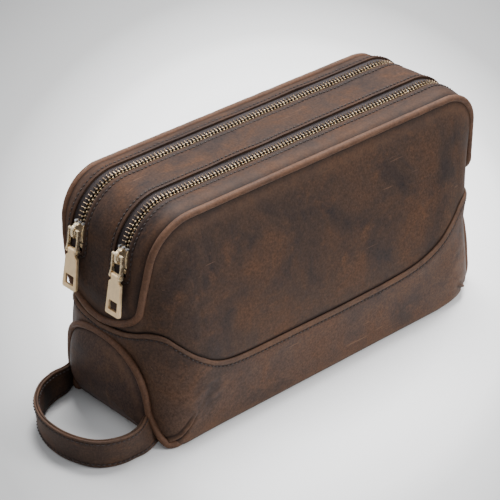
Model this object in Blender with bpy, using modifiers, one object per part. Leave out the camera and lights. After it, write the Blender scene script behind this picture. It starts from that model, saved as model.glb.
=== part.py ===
"""Leather toiletry bag with two zipped compartments and a carrying loop.

Frame: metres, +Z up, origin on the floor under the middle of the bag. +X runs along the bag,
the front faces -Y, and the carrying loop and the closed ends of both zips are at the -X end.
"""

import math

import bmesh
import bpy
import numpy as np
from mathutils import Matrix

# ---- driving dimensions, metres and radians ----
GAP = 0.0003  # left between pieces that touch
LEATHER = 0.0018

# The rim: the line of the gusset's piping, a rounded rectangle in side view
RIM_Z = 0.141
RIM_CORNER_RADIUS = 0.029
RIM_CORNER_X = 0.106
END_LEAN = math.radians(8)  # the ends lean outwards going down
RIM_HALF_WIDTH = 0.0413
RIM_NARROWING = 0.129  # half width lost for each metre below the top
U_BOTTOM_Z = 0.0676  # the gusset ends in a rounded U on each end of the bag
U_RISE = 0.0184
U_POWER = 1.75

# The foot of the body
FOOT_HALF_LENGTH = 0.138
FOOT_HALF_DEPTH = 0.060
FOOT_CORNER = 0.026
FOOT_EDGE = 0.012  # height and radius of the rounded bottom edge
FRONT_BULGE = 0.002
END_BULGE = 0.0005
# How fast the body swells out under the rim (1 is evenly), by distance round the foot
FULLNESS_DISTANCE = (0.018, 0.042, 0.085)
FULLNESS_POWER = (1.1, 3.5, 1.7)

# Distances round the foot that belong to the side of the U and to the foot of the rim's corner
FOOT_AT_U = 0.033
FOOT_AT_CORNER = 0.050

# The seam where the lower panel laps the upper ones: distance round the foot, height
SEAM_DISTANCE = (0.0, 0.025, 0.048, 0.068, 0.086, 0.110, 0.1868)
SEAM_HEIGHT = (0.0615, 0.0640, 0.0655, 0.0560, 0.0465, 0.0430, 0.0415)

PIPING_RADIUS = 0.0022
PIPING_ROOM = PIPING_RADIUS + 0.00035

# Gusset and zips
GUSSET_RISE = 0.0036  # how far the gusset stands proud of the rim
SHOULDER_Y = 0.028
GUSSET_LEATHER = 0.0016
ZIP_Y = 0.0199
SLOT_HALF = 0.0052
SLOT_LEFT_Z = 0.1035
SLOT_RIGHT_Z = 0.0985
TOOTH_INNER = 0.0008
TOOTH_OUTER = 0.0029
TOOTH_TOP = -0.0002
TOOTH_THICK = 0.0024
TAPE_INNER = 0.0032
TAPE_OUTER = 0.0080
TAPE_TOP = -0.0019
TAPE_THICK = 0.0006
STOP_LENGTH = 0.0024
STOP_BEVEL = 0.0003
TOP_STOP_ROOM = 0.0026  # from the closed slider's end to the middle of its stops
BOTTOM_STOP_RISE = 0.0042  # above the slot's end
TAPE_TAIL = 0.0040  # tape beyond each end of the slot, under the leather

# End panels: a tombstone outline on a centre height
ARCH_Z = 0.014
ARCH_HALF_WIDTH = 0.0395
ARCH_HEIGHT = 0.043
ARCH_POWER = 2.4
ARCH_FOOT_Z = 0.0052
ARCH_FLARE = 0.5
END_DOME = 0.006
END_MIDDLE_Z = 0.028
CUTTER_LENGTH = 0.05

# Slider, link and tab, in the slider's own frame: -X outwards, +Z along the zip, towards the open end
SLIDER_LENGTH = 0.0125
SLIDER_HALF_WIDTH = 0.0045
PLATE_THICK = 0.0011
TOP_PLATE_X = -0.0003
BOTTOM_PLATE_X = 0.0035
FLANGE_THICK = 0.0008
POST_WIDTH = 0.0010
POST_LENGTH = 0.0030
CROWN_THICK = 0.0028
CROWN_Z = 0.0006
CROWN_RISE = 0.0038
CROWN_HALF_LENGTH = 0.0048
CROWN_FOOT_X = -0.0012
CROWN_EYE = (0.0012, 0.0014)
LINK_AXIS_X = -0.0033
LINK_AXIS_Z = 0.0019
LINK_REACH = 0.0132
LINK_INNER = 0.0037
LINK_SIDE = 0.0014
LINK_SIDE_HALF = 0.00105
LINK_EYE_RADIUS = 0.0020
LINK_NECK = 0.0042
LINK_BAR_RADIUS = 0.00085
PIN_RADIUS = 0.0008
PIN_CLEARANCE = 0.0001
TAB_LENGTH = 0.0252
TAB_THICK = 0.0022
TAB_NECK_HALF = 0.0032
TAB_TOP_HALF = 0.0052
TAB_END_HALF = 0.0063
TAB_NECK_LENGTH = 0.0036
TAB_CORNER = 0.0008
TAB_BARREL_RADIUS = 0.0018
TAB_BORE_CLEARANCE = 0.00025
WINDOW_HALF = 0.0037
WINDOW_TOP = 0.0160
WINDOW_END = 0.0222

# Carrying loop: a two-layer strap standing on edge; its route seen from above
STRAP_HEIGHT = 0.0196
STRAP_FOOT_Z = 0.0002
STRAP_LAYER = 0.0013
STRAP_ROUTE = (
    (-0.1410, -0.0430),
    (-0.1530, -0.0480),
    (-0.1680, -0.0480),
    (-0.1810, -0.0400),
    (-0.1880, -0.0230),
    (-0.1875, -0.0040),
    (-0.1800, 0.0140),
    (-0.1680, 0.0265),
    (-0.1540, 0.0345),
    (-0.1410, 0.0405),
)

# Inside
LINING_THICK = 0.0008
LINING_SECTIONS = (  # height, half length, outer y, inner y, corner radius
    (0.1330, 0.100, 0.0280, 0.0090, 0.008),
    (0.1250, 0.112, 0.0350, 0.0040, 0.010),
    (0.1000, 0.123, 0.0420, 0.0020, 0.016),
    (0.0600, 0.128, 0.0500, 0.0020, 0.020),
    (0.0150, 0.124, 0.0530, 0.0020, 0.018),
    (0.0050, 0.116, 0.0490, 0.0020, 0.014),
)
DIVIDER_THICK = 0.0014
DIVIDER_HALF_LENGTH = 0.120
DIVIDER_HALF_HEIGHT = 0.064
DIVIDER_Z = 0.070
BOARD_THICK = 0.0016
BOARD_HALF_LENGTH = 0.118
BOARD_HALF_DEPTH = 0.045

# Steps along a straight end, a corner, the top and half a U, and rows down each panel
LINE_STEPS, ARC_STEPS, TOP_STEPS, U_STEPS = 4, 6, 6, 6
UPPER_ROWS, LOWER_ROWS = 6, 5


# ---- scene and material helpers ----
def clear_scene():
    for item in list(bpy.data.objects):
        bpy.data.objects.remove(item)


def collection(name):
    found = bpy.data.collections.new(name)
    bpy.context.scene.collection.children.link(found)
    return found


def material(name, colour, roughness, metallic=0.0):
    made = bpy.data.materials.new(name)
    made.use_nodes = True
    shader = made.node_tree.nodes["Principled BSDF"]
    shader.inputs["Base Color"].default_value = (*colour, 1.0)
    shader.inputs["Roughness"].default_value = roughness
    shader.inputs["Metallic"].default_value = metallic
    return made


def add(name, data, finish):
    """A finished piece in the object's own collection, with its own copy of the finish."""
    made = bpy.data.objects.new(name, data)
    own = finish.copy()
    own.name = name
    if made.type == "MESH":
        data.materials.clear()
    data.materials.append(own)
    BAG.objects.link(made)
    return made


def smooth(data, angle=40):
    data.shade_smooth()
    data.set_sharp_from_angle(angle=math.radians(angle))


def modifier(item, kind, **settings):
    made = item.modifiers.new(kind.lower(), kind)
    for key, value in settings.items():
        setattr(made, key, value)
    return made


def boolean(item, other, operation):
    """Joins or cuts with a helper piece, which stays out of the model."""
    modifier(item, "BOOLEAN", operation=operation, solver="EXACT", object=other)
    hide(other)


def hide(item):
    item.hide_render = True
    item.display_type = "WIRE"
    for owner in list(item.users_collection):
        owner.objects.unlink(item)
    CUTTERS.objects.link(item)


# ---- shape helpers ----
def surface(name, rows, thickness, finish, loop=False, skip=None, flip=False, cap=False):
    """An open sheet through rows of points, thickened to its inner side. cap closes the last row."""
    bm = bmesh.new()
    grid = [[bm.verts.new(p) for p in row] for row in rows]
    count = len(grid[0])
    for j in range(len(grid) - 1):
        for i in range(count if loop else count - 1):
            if skip and skip(j, i):
                continue
            k = (i + 1) % count
            quad = [grid[j][i], grid[j][k], grid[j + 1][k], grid[j + 1][i]]
            bm.faces.new(quad[::-1] if flip else quad)
    if cap:
        bm.faces.new(grid[-1][::-1] if flip else grid[-1])
    loose = [v for v in bm.verts if not v.link_faces]
    bmesh.ops.delete(bm, geom=loose, context="VERTS")
    bmesh.ops.remove_doubles(bm, verts=bm.verts, dist=1e-6)
    data = bpy.data.meshes.new(name)
    bm.to_mesh(data)
    bm.free()
    smooth(data)
    made = add(name, data, finish)
    modifier(made, "SOLIDIFY", thickness=thickness, offset=-1.0, use_even_offset=True)
    return made


def plate_data(name, outline, thickness):
    """A flat outline in XY, thickened evenly about Z, as a welded mesh."""
    curve = bpy.data.curves.new(name, "CURVE")
    curve.dimensions = "2D"
    curve.fill_mode = "BOTH"
    curve.extrude = thickness / 2
    for ring in outline:
        spline = curve.splines.new("POLY")
        spline.points.add(len(ring) - 1)
        for point, (x, y) in zip(spline.points, ring):
            point.co = (x, y, 0.0, 1.0)
        spline.use_cyclic_u = True
    return welded(curve)


def welded(curve):
    holder = bpy.data.objects.new(curve.name, curve)
    bpy.context.scene.collection.objects.link(holder)
    depsgraph = bpy.context.evaluated_depsgraph_get()
    data = bpy.data.meshes.new_from_object(holder.evaluated_get(depsgraph))
    bpy.data.objects.remove(holder)
    bm = bmesh.new()
    bm.from_mesh(data)
    bmesh.ops.remove_doubles(bm, verts=bm.verts, dist=1e-6)
    bm.to_mesh(data)
    bm.free()
    return data


def tube(name, points, radius, finish, closed=False, sides=1):
    curve = bpy.data.curves.new(name, "CURVE")
    curve.dimensions = "3D"
    curve.bevel_depth = radius
    curve.bevel_resolution = sides
    curve.use_fill_caps = True
    spline = curve.splines.new("POLY")
    spline.points.add(len(points) - 1)
    for point, place in zip(spline.points, points):
        point.co = (*place, 1.0)
    spline.use_cyclic_u = closed
    return add(name, curve, finish)


def block(name, size, centre, finish, bevel=0.0):
    bm = bmesh.new()
    bmesh.ops.create_cube(bm, size=1.0)
    bmesh.ops.scale(bm, vec=size, verts=bm.verts)
    bmesh.ops.translate(bm, vec=centre, verts=bm.verts)
    data = bpy.data.meshes.new(name)
    bm.to_mesh(data)
    bm.free()
    made = add(name, data, finish)
    if bevel:
        modifier(made, "BEVEL", width=bevel, segments=2)
    return made


def rod_data(name, radius, length, sides=12):
    """A cylinder along Y, centred."""
    bm = bmesh.new()
    bmesh.ops.create_cone(
        bm, cap_ends=True, segments=sides, radius1=radius, radius2=radius, depth=length
    )
    bmesh.ops.rotate(bm, cent=(0, 0, 0), matrix=ACROSS, verts=bm.verts)
    data = bpy.data.meshes.new(name)
    bm.to_mesh(data)
    bm.free()
    return data


def rod(name, radius, length, centre, finish, sides=12):
    data = rod_data(name, radius, length, sides)
    smooth(data)
    made = add(name, data, finish)
    made.location = centre
    return made


def ease(value):
    value = min(max(value, 0.0), 1.0)
    return value * value * (3 - 2 * value)


def mix(a, b, share):
    return a + (b - a) * share


def spline_points(points, steps):
    """A smooth curve through hand-placed points (Catmull-Rom)."""
    route = [np.array(p) for p in points]
    route = [2 * route[0] - route[1], *route, 2 * route[-1] - route[-2]]
    made = []
    for a, b, c, d in zip(route, route[1:], route[2:], route[3:]):
        for t in np.arange(steps) / steps:
            square = 2 * a - 5 * b + 4 * c - d
            cube = 3 * b - a - 3 * c + d
            made.append(0.5 * (2 * b + (c - a) * t + square * t**2 + cube * t**3))
    made.append(route[-2])
    return made


# ---- the rim and the gusset's surface ----
ARC_END = RIM_CORNER_X + RIM_CORNER_RADIUS * (math.pi / 2 - END_LEAN)
CORNER_Z = RIM_Z - RIM_CORNER_RADIUS
LINE_TOP_X = RIM_CORNER_X + RIM_CORNER_RADIUS * math.cos(END_LEAN)
LINE_TOP_Z = CORNER_Z + RIM_CORNER_RADIUS * math.sin(END_LEAN)


def rim_path(distance):
    """x, z and outward normal of the rim in side view, at a distance along it from the top's middle."""
    side = -1.0 if distance < 0 else 1.0
    reach = abs(distance)
    if reach <= RIM_CORNER_X:
        return distance, RIM_Z, 0.0, 1.0
    if reach <= ARC_END:
        turn = (reach - RIM_CORNER_X) / RIM_CORNER_RADIUS
        x = RIM_CORNER_X + RIM_CORNER_RADIUS * math.sin(turn)
        return side * x, CORNER_Z + RIM_CORNER_RADIUS * math.cos(turn), side * math.sin(turn), math.cos(turn)
    down = reach - ARC_END
    x = LINE_TOP_X + down * math.sin(END_LEAN)
    return side * x, LINE_TOP_Z - down * math.cos(END_LEAN), side * math.cos(END_LEAN), math.sin(END_LEAN)


def reach_at(z):
    """Distance along the rim from the top's middle to a height on an end."""
    return ARC_END + (LINE_TOP_Z - z) / math.cos(END_LEAN)


def rim_half_width(z):
    return RIM_HALF_WIDTH - RIM_NARROWING * (RIM_Z - z)


U_HALF_WIDTH = rim_half_width(U_BOTTOM_Z + U_RISE)


def u_height(y):
    """Height of the U's rounded line at a distance from the middle."""
    share = min(abs(y) / U_HALF_WIDTH, 1.0)
    return U_BOTTOM_Z + U_RISE * (1 - (1 - share**U_POWER) ** (1 / U_POWER))


def u_inside(y):
    """Height of the gusset's own edge, the piping's room inside the U."""
    step = 0.0002
    slope = (u_height(abs(y) + step) - u_height(abs(y) - step)) / (2 * step)
    return u_height(y) + (PIPING_ROOM + GAP) * math.hypot(1.0, slope)


def gusset_point(distance, y, lift=0.0):
    x, z, nx, nz = rim_path(distance)
    shoulder = (abs(y) - SHOULDER_Y) / (rim_half_width(z) - SHOULDER_Y)
    shoulder = min(max(shoulder, 0.0), 1.0)
    settle = ease((z - u_height(y)) / 0.018)
    rise = GUSSET_RISE * (1 - shoulder**2) * settle + lift
    return x + nx * rise, y, z + nz * rise


def stations(left, right):
    """Distances along the rim between two reaches, close where it bends."""
    parts = [
        -np.linspace(left, ARC_END, LINE_STEPS, endpoint=False),
        -np.linspace(ARC_END, RIM_CORNER_X, ARC_STEPS, endpoint=False),
        np.linspace(-RIM_CORNER_X, RIM_CORNER_X, TOP_STEPS, endpoint=False),
        np.linspace(RIM_CORNER_X, ARC_END, ARC_STEPS, endpoint=False),
        np.linspace(ARC_END, right, LINE_STEPS + 1),
    ]
    return np.concatenate(parts)


# ---- the body's surface ----
FOOT_END = FOOT_HALF_DEPTH - FOOT_CORNER
FOOT_ARC_END = FOOT_END + FOOT_CORNER * math.pi / 2
FOOT_STRAIGHT = FOOT_HALF_LENGTH - FOOT_CORNER


def foot_ring(distance):
    """x, y and outward normal of the front left quarter of the foot, from the end's middle."""
    if distance <= FOOT_END:
        return -FOOT_HALF_LENGTH, -distance, -1.0, 0.0
    if distance <= FOOT_ARC_END:
        turn = (distance - FOOT_END) / FOOT_CORNER
        x = -FOOT_STRAIGHT - FOOT_CORNER * math.cos(turn)
        return x, -FOOT_END - FOOT_CORNER * math.sin(turn), -math.cos(turn), -math.sin(turn)
    return -FOOT_STRAIGHT + distance - FOOT_ARC_END, -FOOT_HALF_DEPTH, 0.0, -1.0


def body_columns():
    """Pairs of a rim point and its distance round the foot, from the left end's middle to mid-front."""
    columns = []
    foot_arc = FOOT_ARC_END + FOOT_STRAIGHT - RIM_CORNER_X
    for turn in np.linspace(0, math.pi / 2, U_STEPS, endpoint=False):
        y = -U_HALF_WIDTH * math.sin(turn)
        z = u_height(y)
        columns.append(((-abs(rim_path(reach_at(z))[0]), y, z), FOOT_AT_U * math.sin(turn)))
    for share in np.linspace(0, 1, LINE_STEPS, endpoint=False):
        reach = mix(reach_at(U_BOTTOM_Z + U_RISE), ARC_END, share)
        x, z, _, _ = rim_path(-reach)
        columns.append(((x, -rim_half_width(z), z), mix(FOOT_AT_U, FOOT_AT_CORNER, share)))
    for share in np.linspace(0, 1, ARC_STEPS, endpoint=False):
        x, z, _, _ = rim_path(-mix(ARC_END, RIM_CORNER_X, share))
        columns.append(((x, -rim_half_width(z), z), mix(FOOT_AT_CORNER, foot_arc, share)))
    for share in np.linspace(0, 1, TOP_STEPS // 2 + 1):
        x = mix(-RIM_CORNER_X, 0.0, share)
        columns.append(((x, -RIM_HALF_WIDTH, RIM_Z), foot_arc + share * RIM_CORNER_X))
    return columns


def body_point(column, z):
    """The body's surface under a rim point, at a height above the bottom edge."""
    (px, py, pz), distance = column
    bx, by, nx, ny = foot_ring(distance)
    share = (pz - z) / (pz - FOOT_EDGE)
    bulge = mix(END_BULGE, FRONT_BULGE, ease((distance - FOOT_END) / FOOT_CORNER))
    out = bulge * math.sin(math.pi * share)
    spread = 1 - (1 - share) ** float(np.interp(distance, FULLNESS_DISTANCE, FULLNESS_POWER))
    return mix(px, bx, spread) + nx * out, mix(py, by, spread) + ny * out, z


def panel_top(column):
    """Where an upper panel starts under the rim, the piping's room away from it all along."""
    room = PIPING_ROOM + GAP
    (_, _, z), _ = column
    while np.linalg.norm(RIM_LINE - body_point(column, z), axis=1).min() < room:
        z -= 0.0002
    return z


def bottom_point(column, turn):
    """The rounded bottom edge, from upright (0) to the floor (a quarter turn)."""
    bx, by, nx, ny = foot_ring(column[1])
    inset = FOOT_EDGE * (1 - math.cos(turn))
    return bx - nx * inset, by - ny * inset, FOOT_EDGE * (1 - math.sin(turn))


def rim_line():
    """The left half of the front rim, as closely spaced points."""
    made = []
    for turn in np.linspace(0, math.pi / 2, 60):
        y = -U_HALF_WIDTH * math.sin(turn)
        z = u_height(y)
        made.append((rim_path(-reach_at(z))[0], y, z))
    for distance in np.linspace(reach_at(U_BOTTOM_Z + U_RISE), 0, 240):
        x, z, _, _ = rim_path(-distance)
        made.append((x, -rim_half_width(z), z))
    return np.array(made)


def seam_height(column):
    return float(np.interp(column[1], SEAM_DISTANCE, SEAM_HEIGHT))


def mirrored_x(row):
    return [*row, *[(-x, y, z) for x, y, z in row[-2::-1]]]


# ---- body pieces ----
def upper_panel(name, side):
    columns = body_columns()
    tops = [panel_top(c) for c in columns]
    rows = []
    for share in np.linspace(0, 1, UPPER_ROWS):
        row = [body_point(c, mix(top, seam_height(c) + GAP, share)) for c, top in zip(columns, tops)]
        row[0] = (row[0][0], -GAP / 2, row[0][2])
        rows.append([(x, side * -y, z) for x, y, z in mirrored_x(row)])
    return surface(name, rows, LEATHER, LEATHER_UPPER, flip=side < 0)


def lower_panel():
    columns = body_columns()
    rows = []
    for share in np.linspace(0, 1, LOWER_ROWS):
        rows.append([body_point(c, mix(seam_height(c) - GAP, FOOT_EDGE, share)) for c in columns])
    for turn in (30, 60, 90):
        rows.append([bottom_point(c, math.radians(turn)) for c in columns])
    whole = []
    for row in rows:
        front = mirrored_x(row)
        whole.append([*front, *[(x, -y, z) for x, y, z in front[-2:0:-1]]])
    made = surface("lower_wrap_panel", whole, LEATHER, LEATHER_LOWER, loop=True, flip=True, cap=True)
    for side in (-1, 1):
        cutter = arch_prism(f"arch_cutter_{'left' if side < 0 else 'right'}", PIPING_ROOM, side)
        boolean(made, cutter, "DIFFERENCE")
    return made


def arch_outline(room):
    """The end panel's outline as (y, z), from the front foot over the top to the back foot."""
    half = ARCH_HALF_WIDTH + room
    high = ARCH_HEIGHT + room
    foot = (-half - ARCH_FLARE * (ARCH_Z - ARCH_FOOT_Z), ARCH_FOOT_Z)
    points = [foot]
    for turn in np.linspace(0, math.pi, 25):
        y = -half * math.copysign(abs(math.cos(turn)) ** (2 / ARCH_POWER), math.cos(turn))
        points.append((y, ARCH_Z + high * math.sin(turn) ** (2 / ARCH_POWER)))
    points.append((-foot[0], foot[1]))
    return points


def end_x(y, z):
    """How far out the body's end stands at a place on it, without the sign."""
    share = (z - FOOT_EDGE) / (U_BOTTOM_Z - FOOT_EDGE)
    x = mix(FOOT_HALF_LENGTH, rim_path(reach_at(U_BOTTOM_Z))[0], share)
    over = max(abs(y) - FOOT_END, 0.0)
    return x - FOOT_CORNER + math.sqrt(FOOT_CORNER**2 - over**2)


def arch_prism(name, room, side):
    """The cutter for an end opening, along X."""
    ring = arch_outline(room)
    ring[0] = (ring[0][0], ARCH_FOOT_Z - 2 * GAP)
    ring[-1] = (ring[-1][0], ARCH_FOOT_Z - 2 * GAP)
    data = plate_data(name, [ring], CUTTER_LENGTH)
    made = bpy.data.objects.new(name, data)
    CUTTERS.objects.link(made)
    made.rotation_euler = (math.pi / 2, 0, math.pi / 2)
    made.location = (side * FOOT_HALF_LENGTH, 0, 0)
    hide(made)
    return made


def end_panel(name, side):
    """A domed tombstone: rings shrinking to the middle, blown out by END_DOME."""
    outline = arch_outline(-PIPING_ROOM)
    foot_y = outline[-1][0]
    floor = [(foot_y * share, ARCH_FOOT_Z) for share in (0.6, 0.2, -0.2, -0.6)]
    ring = outline + floor
    rows = []
    for size in (1.0, 0.93, 0.8, 0.6, 0.35, 0.12):
        row = []
        for y, z in ring:
            lift = mix(END_MIDDLE_Z, z, size)
            x = end_x(y * size, lift) + END_DOME * (1 - size**2.4)
            row.append((side * x, y * size, lift))
        rows.append(row)
    return surface(name, rows, LEATHER, LEATHER_END, loop=True, flip=side > 0, cap=True)


def end_piping(name, side):
    points = [(side * end_x(y, z), y, z) for y, z in arch_outline(0.0)]
    return tube(name, points, PIPING_RADIUS, LEATHER_PIPING, sides=2)


def gusset_piping():
    front = mirrored_x([c[0] for c in body_columns()])
    back = [(x, -y, z) for x, y, z in front[-2:0:-1]]
    return tube("gusset_piping", front + back, PIPING_RADIUS, LEATHER_PIPING, closed=True, sides=2)


# ---- gusset and zips ----
def gusset_panel():
    """One leather strip over the bag from U to U, with a slot for each zip."""
    outer = U_HALF_WIDTH - PIPING_ROOM - GAP
    slot = (ZIP_Y + SLOT_HALF, ZIP_Y - SLOT_HALF)
    side = [outer, mix(outer, slot[0], 0.35), mix(outer, slot[0], 0.7), slot[0], slot[1], slot[1] * 0.5]
    across = [-y for y in side] + [0.0] + side[::-1]
    slot_columns = (side.index(slot[0]), len(across) - 2 - side.index(slot[0]))
    left, right = reach_at(SLOT_LEFT_Z), reach_at(SLOT_RIGHT_Z)
    along = stations(left, right)
    end_shares = (1.0, 2 / 3, 1 / 3)
    columns = []
    for low in across:
        bottom = reach_at(u_inside(low))
        below = [-mix(left, bottom, share) for share in end_shares]
        beyond = [mix(right, bottom, share) for share in end_shares[::-1]]
        columns.append([gusset_corner(d, low, slot[0], outer) for d in (*below, *along, *beyond)])
    first = len(end_shares)
    last = first + len(along) - 1

    def in_slot(j, i):
        return first <= j < last and i in slot_columns

    rows = [*zip(*columns)]
    return surface("gusset_panel", rows, GUSSET_LEATHER, LEATHER_GUSSET, skip=in_slot, flip=True)


def gusset_corner(distance, low, slot, outer):
    """A place on the gusset; beyond the slots it spreads with the rim's width, which grows going up."""
    if abs(low) <= slot:
        return gusset_point(distance, low)
    z = rim_path(distance)[1]
    edge = max(rim_half_width(z), U_HALF_WIDTH) - PIPING_ROOM - GAP
    return gusset_point(distance, math.copysign(mix(slot, edge, (abs(low) - slot) / (outer - slot)), low))


def zip_strip(name, zip_y, span, top, thickness, ends, finish):
    """A strip beside a zip's middle line, over a span from inner to outer, along the whole slot."""
    inner, outer = span
    route = stations(*ends)
    rows = [[gusset_point(d, zip_y + inner, top), gusset_point(d, zip_y + outer, top)] for d in route]
    return surface(name, rows, thickness, finish, flip=outer > inner)


def zip_parts(label, zip_y):
    stop_z = LINE_TOP_Z - SLIDER_LENGTH / 2 - TOP_STOP_ROOM
    teeth_ends = (reach_at(stop_z + STOP_LENGTH / 2 + GAP), reach_at(SLOT_RIGHT_Z + BOTTOM_STOP_RISE + 0.002))
    tape_ends = (reach_at(SLOT_LEFT_Z - TAPE_TAIL), reach_at(SLOT_RIGHT_Z - TAPE_TAIL))
    for side, word in ((-1, "front"), (1, "rear")):
        tape = f"{label}_zip_tape_{word}"
        span = (side * TAPE_INNER, side * TAPE_OUTER)
        zip_strip(tape, zip_y, span, TAPE_TOP, TAPE_THICK, tape_ends, TAPE)
        teeth = f"{label}_zip_teeth_{word}"
        span = (side * TOOTH_INNER, side * TOOTH_OUTER)
        zip_strip(teeth, zip_y, span, TOOTH_TOP, TOOTH_THICK, teeth_ends, BRASS)
        half = (TOOTH_OUTER - TOOTH_INNER) / 2
        stop = block(
            f"{label}_zip_top_stop_{word}",
            (TOOTH_THICK, 2 * half, STOP_LENGTH),
            (0, 0, 0),
            BRASS,
            bevel=STOP_BEVEL,
        )
        stop_y = zip_y + side * (TOOTH_INNER + half)
        place_on_end(stop, -reach_at(stop_z), stop_y, TOOTH_TOP - TOOTH_THICK / 2)
    size = (TOOTH_THICK, 2 * TOOTH_OUTER, STOP_LENGTH)
    bottom = block(f"{label}_zip_bottom_stop", size, (0, 0, 0), BRASS, bevel=STOP_BEVEL)
    place_on_end(bottom, reach_at(SLOT_RIGHT_Z + BOTTOM_STOP_RISE), zip_y, TOOTH_TOP - TOOTH_THICK / 2)


def place_on_end(item, distance, y, lift):
    """Sets a piece on an end of the gusset, its Z along the zip."""
    item.location = gusset_point(distance, y, lift)
    item.rotation_euler = (0, -math.copysign(END_LEAN, distance), 0)


# ---- slider, link and tab ----
def slider(label, parent):
    centre_x = (TOP_PLATE_X + BOTTOM_PLATE_X) / 2
    body = block(
        f"{label}_zip_slider",
        (PLATE_THICK, 2 * SLIDER_HALF_WIDTH, SLIDER_LENGTH),
        (TOP_PLATE_X - PLATE_THICK / 2, 0, 0),
        BRASS, bevel=0.0004,
    )
    under = block(
        f"{label}_slider_under_plate",
        (PLATE_THICK, 2 * SLIDER_HALF_WIDTH, SLIDER_LENGTH - 0.001),
        (BOTTOM_PLATE_X + PLATE_THICK / 2, 0, 0),
        BRASS, bevel=0.0003,
    )
    post_height = BOTTOM_PLATE_X - TOP_PLATE_X + PLATE_THICK
    post_z = POST_LENGTH / 2 + 0.0009 - SLIDER_LENGTH / 2 + 0.00025
    post = block(f"{label}_slider_post", (post_height, POST_WIDTH, POST_LENGTH), (centre_x, 0, post_z), BRASS)
    helpers = [under, post]
    for side, word in ((-1, "front"), (1, "rear")):
        flange = block(
            f"{label}_slider_flange_{word}",
            (2 * FLANGE_THICK, FLANGE_THICK, SLIDER_LENGTH - 0.0024),
            (0.0001, side * (SLIDER_HALF_WIDTH - 0.00045), 0),
            BRASS,
        )
        helpers.append(flange)
    crown_data = plate_data(f"{label}_slider_crown", crown_outline(), CROWN_THICK)
    crown = add(f"{label}_slider_crown", crown_data, BRASS)
    crown.rotation_euler = (math.pi / 2, 0, 0)
    helpers.append(crown)
    for helper in helpers:
        helper.parent = parent
        boolean(body, helper, "UNION")
    body.parent = parent
    return body


def crown_outline():
    """The slider's crown in side view, with the eye that holds the link's bar."""
    outer = []
    for turn in np.linspace(0, math.pi, 13):
        x = CROWN_FOOT_X - CROWN_RISE * math.sin(turn) ** 0.8
        outer.append((x, CROWN_Z + CROWN_HALF_LENGTH * math.cos(turn)))
    sunk = TOP_PLATE_X - PLATE_THICK / 2
    outer += [(sunk, outer[-1][1]), (sunk, outer[0][1])]
    eye = []
    for turn in np.linspace(0, 2 * math.pi, 12, endpoint=False):
        x = LINK_AXIS_X + CROWN_EYE[0] * math.cos(turn)
        eye.append((x, LINK_AXIS_Z + CROWN_EYE[1] * math.sin(turn)))
    return [outer, eye]


def side_bar_outline():
    """A link side: a slim bar with a round eye end."""
    bar = LINK_SIDE_HALF
    points = []
    for turn in np.linspace(0, math.pi, 9):
        points.append((bar * math.cos(turn), bar * math.sin(turn)))
    points.append((-bar, -LINK_REACH + LINK_NECK))
    for turn in np.linspace(0.86 * math.pi, 2.14 * math.pi, 13):
        x = LINK_EYE_RADIUS * math.cos(turn)
        points.append((x, -LINK_REACH + LINK_EYE_RADIUS * math.sin(turn)))
    points.append((bar, -LINK_REACH + LINK_NECK))
    radius = PIN_RADIUS + PIN_CLEARANCE
    hole = []
    for turn in np.linspace(0, 2 * math.pi, 12, endpoint=False):
        hole.append((radius * math.sin(turn), -LINK_REACH + radius * math.cos(turn)))
    return [points, hole]


def link(label, parent):
    """The frame between slider and tab; its bar is on the hinge's axis."""
    body = rod(f"{label}_pull_link", LINK_BAR_RADIUS, 2 * LINK_INNER + 0.0008, (0, 0, 0), BRASS)
    body.parent = parent
    for side, word in ((-1, "front"), (1, "rear")):
        data = plate_data(f"{label}_link_side_{word}", side_bar_outline(), LINK_SIDE)
        bar = add(f"{label}_link_side_{word}", data, BRASS)
        bar.rotation_euler = (math.pi / 2, 0, 0)
        bar.location = (0, side * (LINK_INNER + LINK_SIDE / 2), 0)
        bar.parent = parent
        boolean(body, bar, "UNION")
    length = 2 * (LINK_INNER + LINK_SIDE) + 0.0006
    pin = rod(f"{label}_pull_pin", PIN_RADIUS, length, (0, 0, -LINK_REACH), BRASS)
    pin.parent = parent


def tab(label, parent):
    """The pull tab: a rolled neck round the pin, shoulders, and a window near its wide end."""
    half = [
        (TAB_NECK_HALF, 0.0),
        (TAB_NECK_HALF, -TAB_NECK_LENGTH),
        (TAB_TOP_HALF, -TAB_NECK_LENGTH - TAB_CORNER),
        (TAB_END_HALF, -TAB_LENGTH + TAB_CORNER),
        (TAB_END_HALF - TAB_CORNER, -TAB_LENGTH),
    ]
    ring = half + [(-y, z) for y, z in half[::-1]]
    window = [
        (WINDOW_HALF, -WINDOW_TOP),
        (WINDOW_HALF, -WINDOW_END),
        (-WINDOW_HALF, -WINDOW_END),
        (-WINDOW_HALF, -WINDOW_TOP),
    ]
    data = plate_data(f"{label}_pull_tab", [ring, window], TAB_THICK)
    body = add(f"{label}_pull_tab", data, BRASS)
    body.rotation_euler = (math.pi / 2, 0, math.pi / 2)
    barrel = rod(f"{label}_tab_barrel", TAB_BARREL_RADIUS, 2 * TAB_NECK_HALF, (0, 0, 0), BRASS)
    bore = rod(f"{label}_tab_bore", PIN_RADIUS + TAB_BORE_CLEARANCE, 4 * TAB_NECK_HALF, (0, 0, 0), BRASS)
    for helper, operation in ((barrel, "UNION"), (bore, "DIFFERENCE")):
        helper.parent = parent
        boolean(body, helper, operation)
    body.parent = parent


def empty(name, parent, location, rotation=0.0):
    made = bpy.data.objects.new(name, None)
    BAG.objects.link(made)
    made.parent = parent
    made.location = location
    made.rotation_euler = (0, rotation, 0)
    return made


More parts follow.
